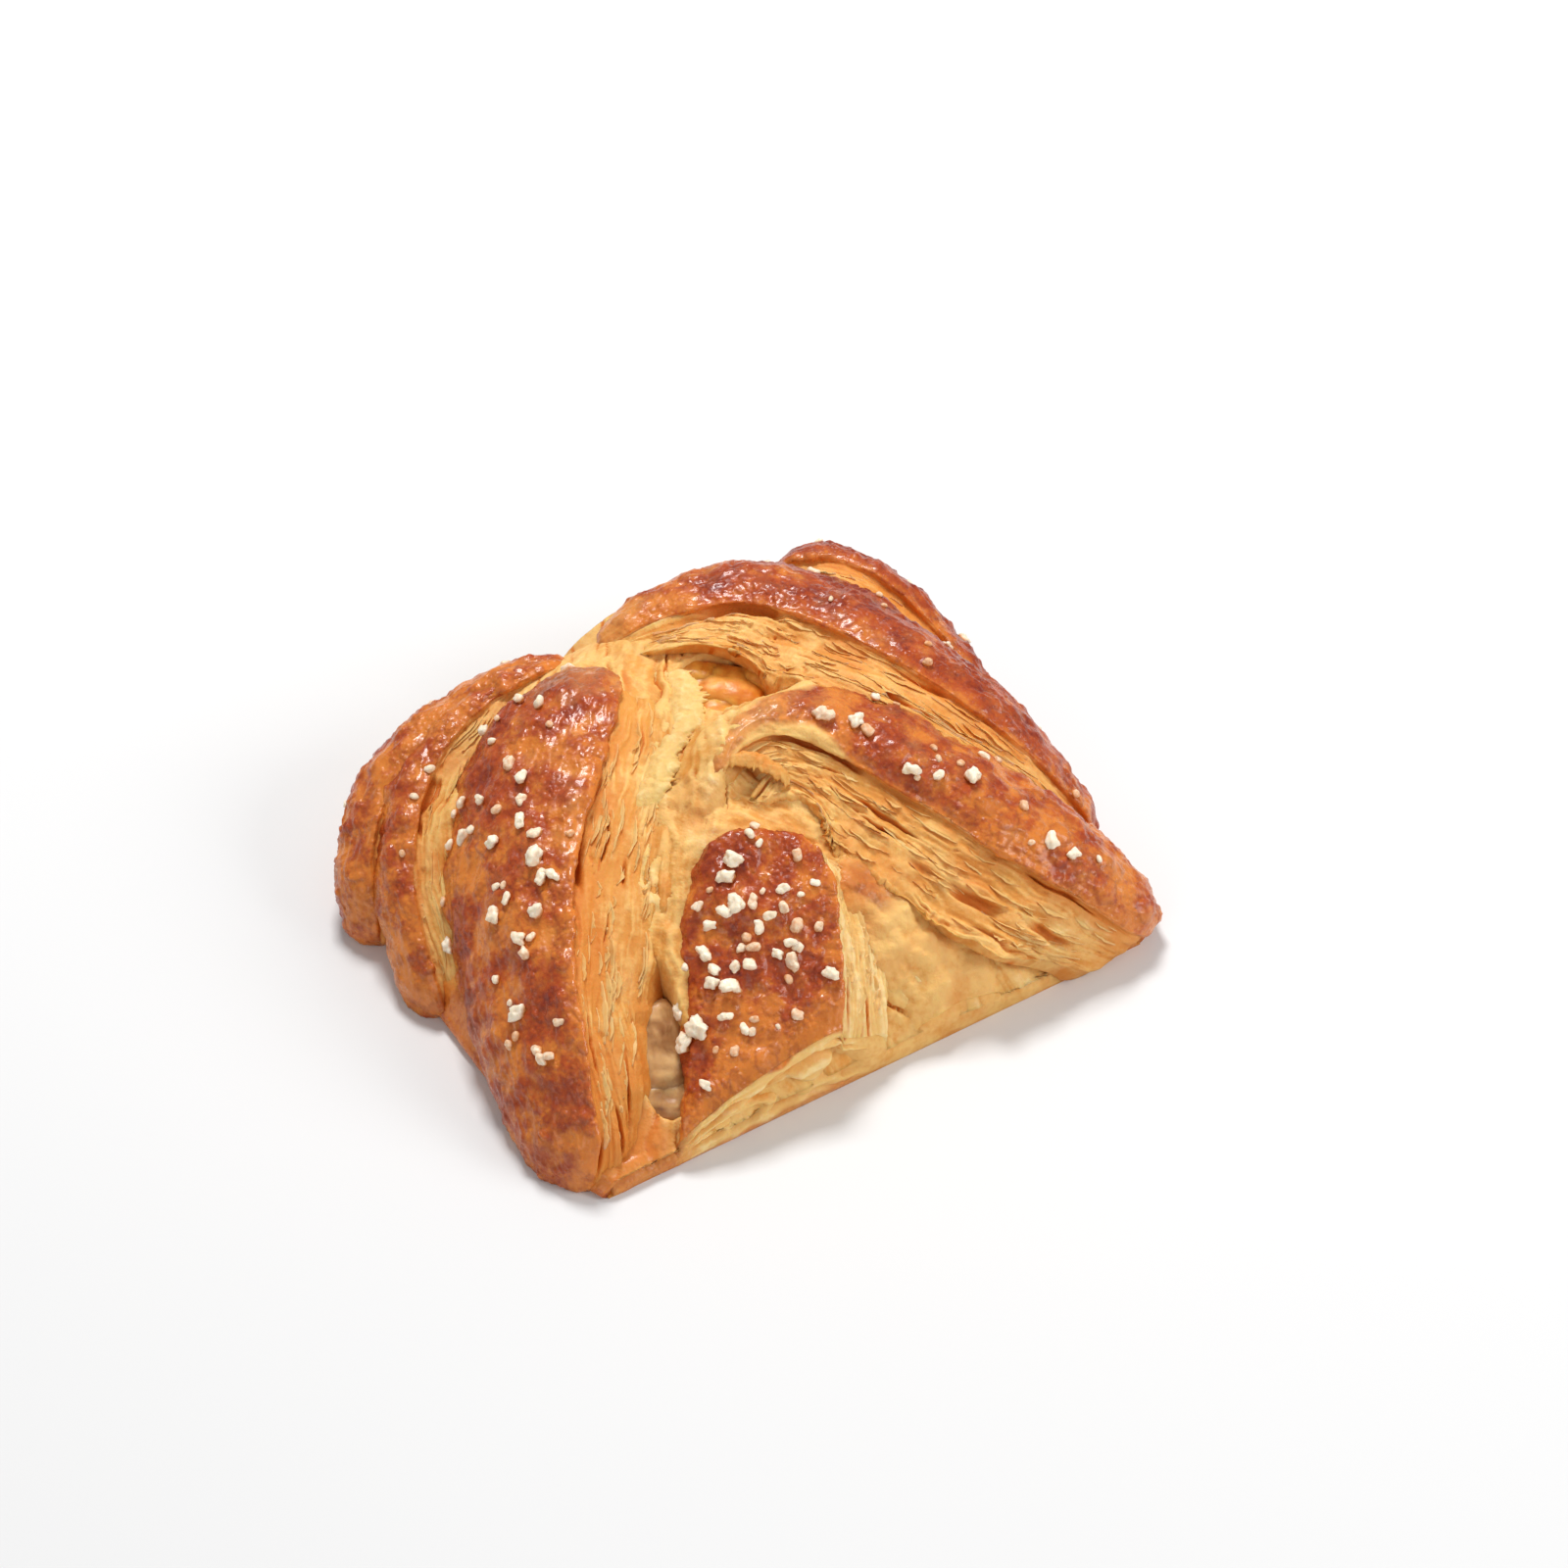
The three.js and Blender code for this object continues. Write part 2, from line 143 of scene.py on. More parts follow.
# A strip runs along its crest from the side (1 left, -1 right) to the middle, and a list changes along it.
# back and front: the crust's widths on each side of the crest, and the falls, how far it drops over them.
# face and drop: how far the layered face below the lip leans out, and how far below the crest its foot is.
# bare: thin, pale crust. skin: how far down the face the crust goes. crustWidth: the crust narrows to it.
# slits and smooth: zones of the face from t to t and from q to q, and a slit's last number is its depth.
strips = {
    "lobe_back_left": {
        "side": 1, "seed": 11,
        "crest": [(-61, 28, 2), (-58.5, 38.5, 11), (-50, 47, 18), (-36, 50.5, 24), (-22, 50, 28),
                  (-9, 47, 29.5)],
        "back": [3, 5, 6, 6, 6, 3], "backFall": [2, 4, 5, 5, 4, 2],
        "front": [4, 7, 7, 6, 5, 3], "frontFall": [1, 1.5, 2, 2, 1.5, 1],
        "face": [2, 3, 3, 3, 3, 2], "drop": [4, 5, 5, 5, 5, 4],
        "browning": -0.15, "toasting": 0.5,
    },
    "strip_narrow_left": {
        "side": 1, "seed": 12,
        "crest": [(-59.5, 8, 1.5), (-58, 17, 9), (-55, 26.5, 15), (-48, 36.5, 21), (-36, 44, 26),
                  (-22, 47, 29), (-10, 46, 30.5)],
        "back": [5, 6, 7, 6, 4, 3, 2], "backFall": [1, 2, 3, 2, 2, 1, 1],
        "front": [4, 4, 4, 4, 3, 2, 2], "frontFall": [1, 1, 1.5, 1.5, 1, 1, 1],
        "face": [3, 5, 5, 5, 4, 4, 3], "drop": [4, 5, 5, 5, 5, 4, 4],
        "browning": -0.05, "toasting": 0.25,
    },
    "strip_long_left": {
        "side": 1, "seed": 13,
        "crest": [(-57.5, -38, 2), (-55.5, -26, 11), (-51, -11, 19), (-43, 4, 27), (-31.5, 17, 33),
                  (-19, 29, 36), (-7, 36, 35.5)],
        "back": [5, 11, 16, 19, 18, 14, 6], "backFall": [1, 3, 5, 6, 6, 4, 2],
        "front": [5, 8.5, 9.8, 9, 8.6, 8.4, 4], "frontFall": [1.5, 1.8, 1.7, 2.4, 2, 1.6, 0.8],
        "face": [2, 2.6, 5.2, 11.5, 13.4, 12.6, 9], "drop": [6, 10, 14, 13, 10, 8, 6],
        "browning": [0, 0.05, 0.05, 0.05, 0.2, 0.45, 0.5], "bare": [0, 0, 0, 0, 0, 0, 0.3],
        "toasting": [0.9, 0.7, 0.6, 0.45, 0.35, 0.2, 0.15], "paleness": -0.15,
    },
    "tongue_front": {
        "side": 1, "seed": 14, "cut": True, "thickness": 14,
        "crest": [(-41, -52, 0), (-31, -42, 9), (-21, -32, 18), (-11.5, -21.5, 28), (-3.4, -10.8, 35.2)],
        "back": [6.5, 7, 10.5, 12.5, 9], "backFall": [2, 2, 3, 3, 2],
        "front": [13, 13, 14.5, 12, 7], "frontFall": [2.5, 2.5, 2, 1, 1],
        "face": [6, 7, 8, 8, 5], "drop": [8, 9, 10.5, 11, 8], "pleated": 0.6,
        "browning": [-0.3, -0.05, 0.15, 0.15, 0.15],
        "toasting": [-0.8, -0.8, -0.7, -0.5, -0.2], "paleness": 0.5,
    },
    "strip_stub_right": {
        "side": -1, "seed": 15, "cut": True,
        "crest": [(28, -50, -4), (22, -41, 5), (17, -33, 14.2), (11, -25, 22.5), (5, -18, 28)],
        "back": [9, 9, 8.5, 7, 5], "backFall": [4.5, 4.2, 3.6, 2.6, 2],
        "front": [12, 15, 15.5, 11.5, 6], "frontFall": [4, 6.5, 8, 5.5, 2.5],
        "face": [3, 3, 3, 3, 2], "drop": [7, 10, 11.5, 9, 6], "skin": 9, "crustWidth": 3.2, "lumps": 1.3,
        "browning": [-1, -0.4, 0.4, 0.4, 0], "bare": [1.3, 1.3, 1.1, 0.3, 1.2],
        "toasting": [0.2, 0.2, 0.25, 0.6, 0.4], "mottle": 0.6,
    },
    "strip_front_right": {
        "side": -1, "seed": 16,
        "crest": [(58.5, -39, 4), (48.5, -28.5, 19), (38, -18, 28.5), (28, -6.5, 34.5), (16, 4, 38.5),
                  (3, 6.5, 40), (-8, 1.5, 37)],
        "back": [5, 6, 7, 9, 8, 3.6, 1.2], "backFall": [1, 1.5, 2, 3, 3, 2, 1],
        "front": [8, 11.5, 11, 10, 7, 2.6, 1.2], "frontFall": [4, 6, 6, 4.5, 2.5, 1.5, 1],
        "face": [2.5, 3.5, 8, 9.5, 10.5, 11.3, 11.5, 13, 14, 13, 11, 8.7, 6],
        "drop": [13, 18, 18, 14, 11, 8, 6],
        "underFoot": [5, 2.8, 2.5, 2.5, 2.5, 3, 4, 5, 5, 5, 5, 5, 5],
        "torn": [0, 1, 1.5, 1.5, 1.5, 1.2, 0.4, 0, 0],
        "browning": [0.15, 0, 0.1, 0.15, 0, -0.4, -0.3], "bare": [0, 0, 0, 0, 0, 0.35, 0.2],
        "toasting": [0.7, 0.45, 0.35, 0.3, 0.25, 0.1, 0.3],
        "crustWidth": [30, 30, 30, 30, 30, 30, 20, 11, 5, 2.2, 1.2, 0.9, 0.3], "lumps": 0.9,
        "slits": [(0.56, 0.83, 0.3, 2.0, 1.3), (0.22, 0.36, 8.6, 11.2, 1.5), (0.08, 0.21, 7.5, 9.7, 1.3),
                  (0.86, 1.0, 3.6, 7.4, 3.0), (0.36, 0.45, 9.2, 11, 1.0), (0.14, 0.3, 13.4, 14.6, 0.8)],
        "smooth": [(0.36, 0.64, 8.0, 16), (0.80, 0.94, 2.6, 7)],
    },
    "strip_back_right": {
        "side": -1, "seed": 17, "evening": 0.4,
        "crest": [(61.5, -17, 3), (54.5, -4, 20), (46.5, 13, 30), (37.5, 31.5, 34), (25, 43, 35.5),
                  (10, 47, 34), (-4, 47, 30.5)],
        "back": [4, 6, 8, 9, 8, 6, 3], "backFall": [1, 3, 5, 6, 6, 4, 2],
        "front": [4, 9, 12, 12, 10, 7, 3], "frontFall": [1, 3, 4, 4, 3, 2, 1],
        "face": [10, 9, 9, 9.5, 10.5, 9, 5], "drop": [5, 8, 11, 13, 10, 5, 4], "pleated": 1.6,
        "underFoot": [5, 5, 5, 5, 3, 2.4, 2.4], "slits": [(0.56, 0.8, 0.4, 3.0, 1.4)],
        "browning": [0.4, 0.5, 0.65, 0.75, 0.65, 0.3, -0.2], "bare": [0, 0, 0, 0, 0, 0, 0.4],
        "toasting": [0.8, 0.6, 0.45, 0.35, 0.15, 0, 0],
    },
    "lobe_back_right": {
        "side": -1, "seed": 18,
        "crest": [(61, 7, 2), (58, 21, 15.5), (53, 35.5, 25), (46, 46, 28), (36, 51, 27)],
        "back": [3, 5, 6, 6, 4], "backFall": [1, 3, 4, 4, 2],
        "front": [3, 6, 7, 6, 4], "frontFall": [1, 1.5, 2, 2, 1],
        "face": [3, 4, 5, 4, 3], "drop": [5, 6, 6, 6, 5], "browning": 0.75, "toasting": 0.4,
    },
}

stripMake = {
    "alongStep": 0.44, "crustStep": 0.27, "faceStep": 0.18, "footStep": 0.5, "hiddenStep": 2.5,
    "crestSamples": 800,
    "thickness": 9, "underFoot": 5,     # dough below the crust, and below the foot of the cut face
    "endRounding": 0.07,                # share of the length over which an end rounds off
    "evening": 0.3,                     # share of the length over which the lean is evened out
    "frontCut": -39.6,                  # y where a strip is cut, just behind the front cut face
}

lean = {                                # strips lean outward, the more the further from the mound's middle
    "halfWidth": 60, "halfLength": 52, "middle": 6, "across": 1.25, "along": 0.55, "up": 0.75, "power": 2.2,
}

layering = {                            # length along the strip, width across it and height, in mm
    "pleat": (22, 3.4, 0.65), "ridge": (9, 1.3, 0.4), "leaf": (5, 0.55, 0.17),
    "sheet": (8, 0.9, 0.17),            # how far one sheet stands out beyond the next
    "slit": (16, 1.1, 1.1), "pit": (2.4, 0.7, 0.4), "puff": (2.2, 1.3, 0.3),
}


def alongStrip(strip, key, t, usual=0.0):   # a setting that is one number, or changes along the strip
    value = strip.get(key, usual)
    return curveAt(value, t) if isinstance(value, list) else np.full_like(t, value)


def leanNormal(p):
    x = p[..., 0] / lean["halfWidth"]
    y = (p[..., 1] - lean["middle"]) / lean["halfLength"]
    return unit(np.stack([lean["across"] * np.sign(x) * np.abs(x) ** lean["power"],
                          lean["along"] * np.sign(y) * np.abs(y) ** lean["power"],
                          np.full_like(x, lean["up"])], -1))


# the layers' height in mm, with their painted shade, dark in gaps and slits, and their paleness, partly a
# painted highlight where a sheet stands out, from 0 to about 1
def layerRelief(s, q, seed, looseness=0.0, pleated=1.0, sheets=1.0):
    u = q + 1.8 * streaks(s, q, 24, 7, seed) + 0.7 * streaks(s, q, 7, 3.5, seed + 1)

    def layer(key, number, octaves=1):
        sizeAlong, sizeAcross, high = layering[key]
        return streaks(s, u, sizeAlong, sizeAcross, seed + number, octaves)

    pleat, ridge, leaf = layer("pleat", 2), layer("ridge", 3, 2), layer("leaf", 4)
    sheetLong, sheetWide, sheetHigh = layering["sheet"]
    band = np.floor(u / sheetWide)
    sheet = streaks(s, band * 9.3, sheetLong, 1.0, seed + 5)
    tuck = (u / sheetWide - band) ** 2      # a sheet slopes back under the next one
    opened = layer("slit", 6) + looseness
    slit = ramp(opened, 0.48, 0.72)
    pit = ramp(layer("pit", 7), 0.4, 0.7) * ramp(streaks(s, q, 12, 5, seed + 8), 0.0, 0.4)
    crumb = streaks(s, q, 0.9, 0.7, seed + 9)
    puffed = ramp(streaks(s, q, 14, 5, seed + 10), -0.2, 0.5)       # where the crumb has puffed up
    puff = layer("puff", 11, 2) * puffed
    height = (pleated * layering["pleat"][2] * pleat + layering["ridge"][2] * ridge * (1 - 0.4 * puffed)
              + layering["leaf"][2] * leaf + sheets * sheetHigh * (sheet - 0.35 * tuck) + 0.08 * crumb
              + layering["puff"][2] * puff - layering["slit"][2] * slit - layering["pit"][2] * pit)
    # painted shade: darker and more orange in the opened gaps, slits and pits, less on ridges and puffs
    gap = 0.35 * ramp(opened, 0.25, 0.55) + 0.45 * slit + 0.4 * pit - 0.2 * ridge - 0.2 * puffed
    # painted highlight: paler where a ridge, leaf, pleat, sheet or puff stands out; painted shade where a
    # sheet tucks under the next
    lift = np.clip(0.45 + 0.3 * ridge + 0.26 * leaf + 0.2 * pleat + 0.22 * sheet - 0.15 * tuck
                   + 0.25 * puffed + 0.4 * puff, 0, 1.3)
    return height, np.clip(gap, 0, 1), lift


def crustRelief(points, s, q, seed, browning):  # the crust's height in mm, with brown and blister from 0 to 1
    patch = noise(points, 10, seed, 2) + 0.5 * noise(points, 3.6, seed + 1)
    patch = patch + 0.25 * noise(points, 1.5, seed + 11)
    brown = ramp(patch + browning, -0.8, 0.9)
    lumps = 0.65 * noise(points, 9, seed + 2) + 0.45 * noise(points, 4, seed + 3)
    folds = streaks(s, q, 9, 1.7, seed + 4)
    folds = 0.2 * (1 - np.abs(folds)) ** 3
    bent = points + 0.5 * np.stack([noise(points, 2, seed + k) for k in (31, 32, 33)], -1)
    large = bubbles(bent, 3.6, seed + 5, 0.3)
    middle = bubbles(bent, 1.9, seed + 6, 0.55)
    small = bubbles(bent, 1.05, seed + 7, 0.7)
    rough = 0.2 + 0.8 * ramp(0.6 * patch + noise(points, 6, seed + 9, 2), -0.3, 0.4)
    blister = 0.42 * large + 0.4 * middle * rough + 0.3 * small * rough
    height = lumps + folds + blister + 0.13 * noise(points, 0.9, seed + 8, 2)
    return height, brown, np.clip(blister / 0.5, 0, 1)


def sectionPoints(strip, t):            # control points of the section, forward and up, for each station
    back, front, face, drop = (curveAt(strip[key], t) for key in ("back", "front", "face", "drop"))
    backFall, frontFall = curveAt(strip["backFall"], t), curveAt(strip["frontFall"], t)
    thick = strip.get("thickness", stripMake["thickness"])
    foot = drop + alongStrip(strip, "underFoot", t, stripMake["underFoot"])
    slope = drop - frontFall - 1.3          # from the lip's lower edge down to the foot
    pairs = [
        (front * 0.3, -frontFall - thick), (-back * 0.7, -backFall - thick),
        (-back * 1.0, -backFall - thick * 0.72), (-back * 1.04, -backFall - thick * 0.35),
        (-back * 0.99, -backFall - 0.9), (-back * 0.8, -backFall * 0.62), (-back * 0.4, -backFall * 0.14),
        (0 * back, 0 * back), (front * 0.4, -frontFall * 0.12), (front * 0.75, -frontFall * 0.5),
        (front, -frontFall), (front + 0.35, -frontFall - 0.35), (front + 0.2, -frontFall - 0.9),
        (front + 0.1, -frontFall - 1.3), (front + face * 0.3, -frontFall - 1.3 - slope * 0.34),
        (front + face * 0.65, -frontFall - 1.3 - slope * 0.68), (front + face, -drop),
        (front + face - 0.4, -foot + 2), (front + face * 0.5, -foot - 1.5),
    ]
    return np.stack([np.stack(pair, -1) for pair in pairs], 1)


wallRow, crestRow, lipRow, faceRow, footRow = 3, 7, 10, 13, 16     # places in that list


def rowsAcross(closed):                 # rows across the section, close together where it shows
    at = []
    for k in range(closed.shape[1] - 3):
        length = np.linalg.norm(closed[:, k + 2] - closed[:, k + 1], axis=1).mean()
        step = stripMake["hiddenStep"]
        if 2 <= k < lipRow:
            step = stripMake["crustStep"]
        elif lipRow <= k < footRow:
            step = stripMake["faceStep"]
        elif k == footRow:
            step = stripMake["footStep"]
        rows = max(1, int(round(length / step)))
        at.extend(k + np.arange(rows) / rows)
    return np.array(at)


def startAtCut(values):                 # the lines along a cut strip start afresh where they cross the cut
    count, lines, depth = values.shape
    y = values[..., 1]
    cutY = stripMake["frontCut"]
    first = np.argmax(y >= cutY, axis=0)
    trimmed = np.empty_like(values)
    for j in range(lines):
        i = max(first[j], 1)
        lowSide, highSide = y[i - 1, j], y[i, j]
        start = i - 1 + np.clip((cutY - lowSide) / max(highSide - lowSide, 1e-6), 0, 1)
        places = np.linspace(start, count - 1, count)
        for field in range(depth):
            trimmed[:, j, field] = np.interp(places, np.arange(count), values[:, j, field])
    return trimmed


def sweepStrip(strip):                  # the strip's plain shape: its section carried along its crest
    fineT = np.linspace(0, 1, stripMake["crestSamples"])
    run = runAlong(curveAt(strip["crest"], fineT))
    count = int(run[-1] / stripMake["alongStep"]) + 1
    s = np.linspace(0, run[-1], count)
    t = np.interp(s, run, fineT)
    crest = curveAt(strip["crest"], t)
    normal = leanNormal(crest)
    forward = unit(np.cross(unit(np.gradient(crest, axis=0)), normal)) * strip["side"]
    window = np.hanning(int(count * strip.get("evening", stripMake["evening"])) | 1)
    window, half = window / window.sum(), len(window) // 2
    forward = unit(np.stack([np.convolve(np.pad(forward[:, axis], half, "edge"), window, "valid")
                             for axis in range(3)], 1))
    normal = unit(normal - forward * (normal * forward).sum(1, keepdims=True))

    def wander(size, number):           # how far a line along the strip strays at each station
        return streaks(s, s * 0, size, 1, strip["seed"] * 100 + number)

    section = sectionPoints(strip, t)
    section[:, lipRow - 1:faceRow + 1, 0] += (wander(13, 50) * 0.5 + wander(4.5, 51) * 0.3)[:, None]
    section[:, footRow:footRow + 2, 0] += (wander(10, 52) * 0.8 + wander(3, 53) * 0.4)[:, None]
    section[:, wallRow:wallRow + 3, 0] += (wander(11, 54) * 0.9)[:, None]

    share = s / s[-1]
    scale = np.ones(count)              # the section shrinks over each end that isn't cut
    for distance in ((1 - share,) if strip.get("cut") else (share, 1 - share)):
        scale *= np.sqrt(1 - (1 - np.clip(distance / stripMake["endRounding"], 0, 1)) ** 2 * 0.995)
    pivot = np.array([0, -stripMake["thickness"] / 2])
    section = pivot + (section - pivot) * scale[:, None, None]

    closed = np.concatenate([section[:, -1:], section, section[:, :2]], 1)
    at = rowsAcross(closed)
    k = at.astype(int)
    flat = spline(closed[:, k], closed[:, k + 1], closed[:, k + 2], closed[:, k + 3], (at - k)[None, :, None])
    grid = crest[:, None] + forward[:, None] * flat[..., :1] + normal[:, None] * flat[..., 1:]

    steps = np.linalg.norm(np.diff(flat, axis=1), axis=2)
    across = np.concatenate([np.zeros((count, 1)), np.cumsum(steps, axis=1)], 1)
    lip = int(np.searchsorted(at, lipRow + 0.5))
    q = across - across[:, lip:lip + 1]
    values = np.concatenate([grid, q[..., None], np.broadcast_to(s[:, None, None], q.shape + (1,))], -1)
    if strip.get("cut"):
        values = startAtCut(values)
    grid, q, s = (np.ascontiguousarray(part) for part in (values[..., :3], values[..., 3], values[..., 4]))
    return {"grid": grid, "q": q, "s": s, "at": at, "scale": scale, "t": t, "forward": forward}


def tearFoot(strip, swept, place):      # the foot of the face becomes a thin, ragged edge
    q, s, at, seed = swept["q"], swept["s"], swept["at"], strip["seed"] * 100
    fine = ramp(streaks(s, q * 0, 6, 1, seed + 83), -0.2, 0.3)
    tear = 0.7 * streaks(s, q * 0, 4.5, 1, seed + 80, 2)
    tear = tear + 0.5 * fine * streaks(s, q * 0, 1.4, 1, seed + 81, 2)
    tear = tear * alongStrip(strip, "torn", place) * ramp(at, footRow - 0.7, footRow)[None]
    reach = 1.3 * tear * (1 - ramp(at, footRow + 1, footRow + 1.8)[None])
    return swept["grid"] + swept["forward"][:, None] * reach[..., None]


def within(value, low, high, fadeIn, fadeOut):  # 1 from low to high, fading to 0 just inside both
    return ramp(value, low, low + fadeIn) * (1 - ramp(value, high - fadeOut, high))


def shapeStrip(strip):                  # the swept strip with its crust and layers worked into it
    swept = sweepStrip(strip)
    q, s, at = swept["q"], swept["s"], swept["at"]
    seed, skin = strip["seed"] * 100, strip.get("skin", 0)
    place = swept["t"][:, None] + 0 * q
    if "torn" in strip:
        swept["grid"] = tearFoot(strip, swept, place)
    grid = swept["grid"]
    crestLine = at.searchsorted(crestRow)
    normals = gridNormals(grid)
    if (normals[:, crestLine] * leanNormal(grid[:, crestLine])).sum() < 0:
        normals = -normals
    crustHeight, brown, blister = crustRelief(grid, s, q, seed, alongStrip(strip, "browning", place))
    layerHeight, gap, lift = layerRelief(s, q, seed + 20, 0.0, strip.get("pleated", 1.0))

    # covered: under crust or skin; bare: where that crust is thin and pale
    ragged = 0.35 * streaks(s, q * 0, 1.6, 1, seed + 40, 2)
    covered = 1 - ramp(q + ragged - skin, 0.1, 0.9)
    bare = np.zeros(q.shape)
    if "bare" in strip:
        bare = np.clip(alongStrip(strip, "bare", place) + 0.2 * noise(grid, 4, seed + 69, 2), 0, 1)
    if "crustWidth" in strip:
        fromCrest = np.abs(q - q[:, crestLine][:, None])
        width = alongStrip(strip, "crustWidth", place)
        bare = np.maximum(bare, ramp(fromCrest + 0.6 * noise(grid, 4, seed + 68, 2), width, width + 2))
    softLumps = 0.9 * noise(grid, 8, seed + 70, 2) + 0.35 * noise(grid, 3, seed + 72, 2)
    softLumps = (softLumps + 0.3 * bubbles(grid, 2.6, seed + 71, 0.5)) * strip.get("lumps", 1)
    waxy = np.zeros(q.shape)                # where the face is a smooth, lumpy skin
    for startShare, endShare, low, high in strip.get("smooth", ()):
        zone = within(place, startShare, endShare, 0.06, 0.06) * within(q, low, high, 1.5, 1.5)
        waxy = np.maximum(waxy, zone)
    layerHeight = layerHeight * (1 - 0.85 * waxy) + 1.3 * softLumps * waxy
    gap, lift = gap * (1 - 0.8 * waxy), lift * (1 - waxy) + (0.5 + 0.3 * softLumps) * waxy

    height = covered * (crustHeight * (1 - 0.6 * bare) + bare * softLumps)
    height = height + (1 - covered) * layerHeight * ramp(q - skin, 0.2, 1.4)
    for startShare, endShare, low, high, depth in strip.get("slits", ()):
        wander = 0.4 * streaks(s, q * 0, 5, 1, seed + 60)
        slit = within(place, startShare, endShare, 0.05, 0.05) * within(q + wander, low, high, 0.5, 0.7)
        height = height - slit * depth
        # painted shade: a sunk slit is also coloured as a shaded gap
        gap = np.maximum(gap, 0.5 * slit)
    shown = ramp(at, 1.5, wallRow)[None] * (1 - ramp(at, footRow + 0.4, footRow + 1.2)[None])
    calm = ramp(swept["scale"], 0.1, 0.6)[:, None]
    grid = grid + normals * (height * shown * calm)[..., None]

    below = np.clip(q, 0, None)             # toasted just below the lip, and less further down
    toast = 0.75 * np.exp(-below / 1.1) + 0.35 * np.exp(-below / 5) + alongStrip(strip, "toasting", place)
    toast = toast - 1.1 * covered + strip.get("mottle", 0.25) * noise(grid, 9, seed + 61, 2)
    toast = np.clip(toast + 0.3 * streaks(s, q, 11, 2.2, seed + 62, 2) * (1 - covered) + 0.25 * waxy, 0, 1)
    lift = lift + strip.get("paleness", 0)
    brown = brown * (1 - 0.6 * np.exp(-np.abs(q) / 1.8))
    if strip.get("cut"):                    # the rim of the cut rounds over, and is paler
        cutY = stripMake["frontCut"]
        grid[..., 2] -= 1.3 * ramp(cutY + 2.4 - grid[..., 1], 0, 2.4) ** 2
        brown = brown * (0.2 + 0.8 * ramp(grid[..., 1] + noise(grid, 3, seed + 82, 2), cutY + 1, cutY + 6))
    swept.update(grid=grid, normals=normals, crust=covered * (1 - bare), brown=brown, blister=blister,
                 gap=gap * (1 - covered), toast=toast,
                 lift=lift * (1 - covered) + (0.65 + 0.4 * softLumps) * covered)
    return swept


doughFields = ("crust", "brown", "blister", "gap", "lift", "toast")     # what the dough's material reads
piecesMade = []


def addMesh(name, points, faces, uvs=None, attributes=None):
    mesh = bpy.data.meshes.new(name)
    mesh.from_pydata(((points + toFrame) / 1000).tolist(), [], faces)
    if uvs is not None:
        layer = mesh.uv_layers.new(name="OFBake")
        layer.data.foreach_set("uv", np.asarray(uvs, np.float32).ravel())
    for field, values in (attributes or {}).items():
        attribute = mesh.attributes.new(field, "FLOAT", "POINT")
        attribute.data.foreach_set("value", np.asarray(values, np.float32).ravel())
    mesh.polygons.foreach_set("use_smooth", [True] * len(mesh.polygons))
    mesh.update()
    piece = bpy.data.objects.new(name, mesh)
    bpy.context.collection.objects.link(piece)
    piecesMade.append(piece)
    return piece


def ringQuads(rows, columns):           # i and j of each quad between rings of points, and its four corners
    i, j = np.meshgrid(np.arange(rows - 1), np.arange(columns), indexing="ij")
    k = (j + 1) % columns
    quads = np.stack([i * columns + j, (i + 1) * columns + j, (i + 1) * columns + k, i * columns + k], -1)
    return i, j, quads.reshape(-1, 4)


def ringCaps(rows, columns):            # the faces that close the first and the last ring
    return [list(range(columns)), list(range((rows - 1) * columns, rows * columns))[::-1]]


def quadUvs(u, v, du, dv):              # the four corners of each quad in the UV square
    corners = ((u, v), (u + du, v), (u + du, v + dv), (u, v + dv))
    return np.stack([np.stack(corner, -1) for corner in corners], -2).reshape(-1, 4, 2)


def ringMesh(name, swept, side):        # a swept grid, closed round its section and over both ends
    grid = swept["grid"].copy()
    grid[..., 2] = np.maximum(grid[..., 2], 0.0)
    rows, columns = grid.shape[:2]
    i, j, quads = ringQuads(rows, columns)
    uvs = quadUvs(i / (rows - 1), j / columns, 1 / (rows - 1), 1 / columns)
    caps = ringCaps(rows, columns)
    if side > 0:                        # turned so that every face looks outward
        quads, uvs = quads[:, ::-1], uvs[:, ::-1]
        caps = [cap[::-1] for cap in caps]
    uvs = np.concatenate([uvs.reshape(-1, 2), np.zeros((columns, 2)), np.ones((columns, 2))])
    attributes = {field: swept[field] for field in doughFields}
    return addMesh(name, grid.reshape(-1, 3), quads.tolist() + caps, uvs * 0.98 + 0.01, attributes)


def joinRings(rings, turned=False):     # points and faces of several closed rounds of rings, as one mesh
    points, faces, first = [], [], 0
    for grid in rings:
        rows, columns = grid.shape[:2]
        for face in ringQuads(rows, columns)[2].tolist() + ringCaps(rows, columns):
            faces.append([first + corner for corner in (face[::-1] if turned else face)])
        points.append(grid.reshape(-1, 3))
        first += rows * columns
    return np.concatenate(points), faces


insideCut = {"share": 0.6, "depth": 4.2}    # how much narrower the folded-in section is, and how far in


def insetCut(swept, atStart):           # a cut section folds back inside, so the cut face can be hollow
    inset = {}
    for field in ("grid",) + doughFields:
        end = swept[field][:1] if atStart else swept[field][-1:]
        if field == "grid":
            middle = end.mean(1, keepdims=True)
            end = middle + insideCut["share"] * (end - middle)
            end[..., 1] += insideCut["depth"] if atStart else -insideCut["depth"]
        inset[field] = np.concatenate([end, swept[field]] if atStart else [swept[field], end])
    return inset


shaped = {}
for name, strip in strips.items():
    shaped[name] = shapeStrip(strip)
    piece = ringMesh(name, insetCut(shaped[name], True) if strip.get("cut") else shaped[name], strip["side"])
    print("strip", name, len(piece.data.polygons))


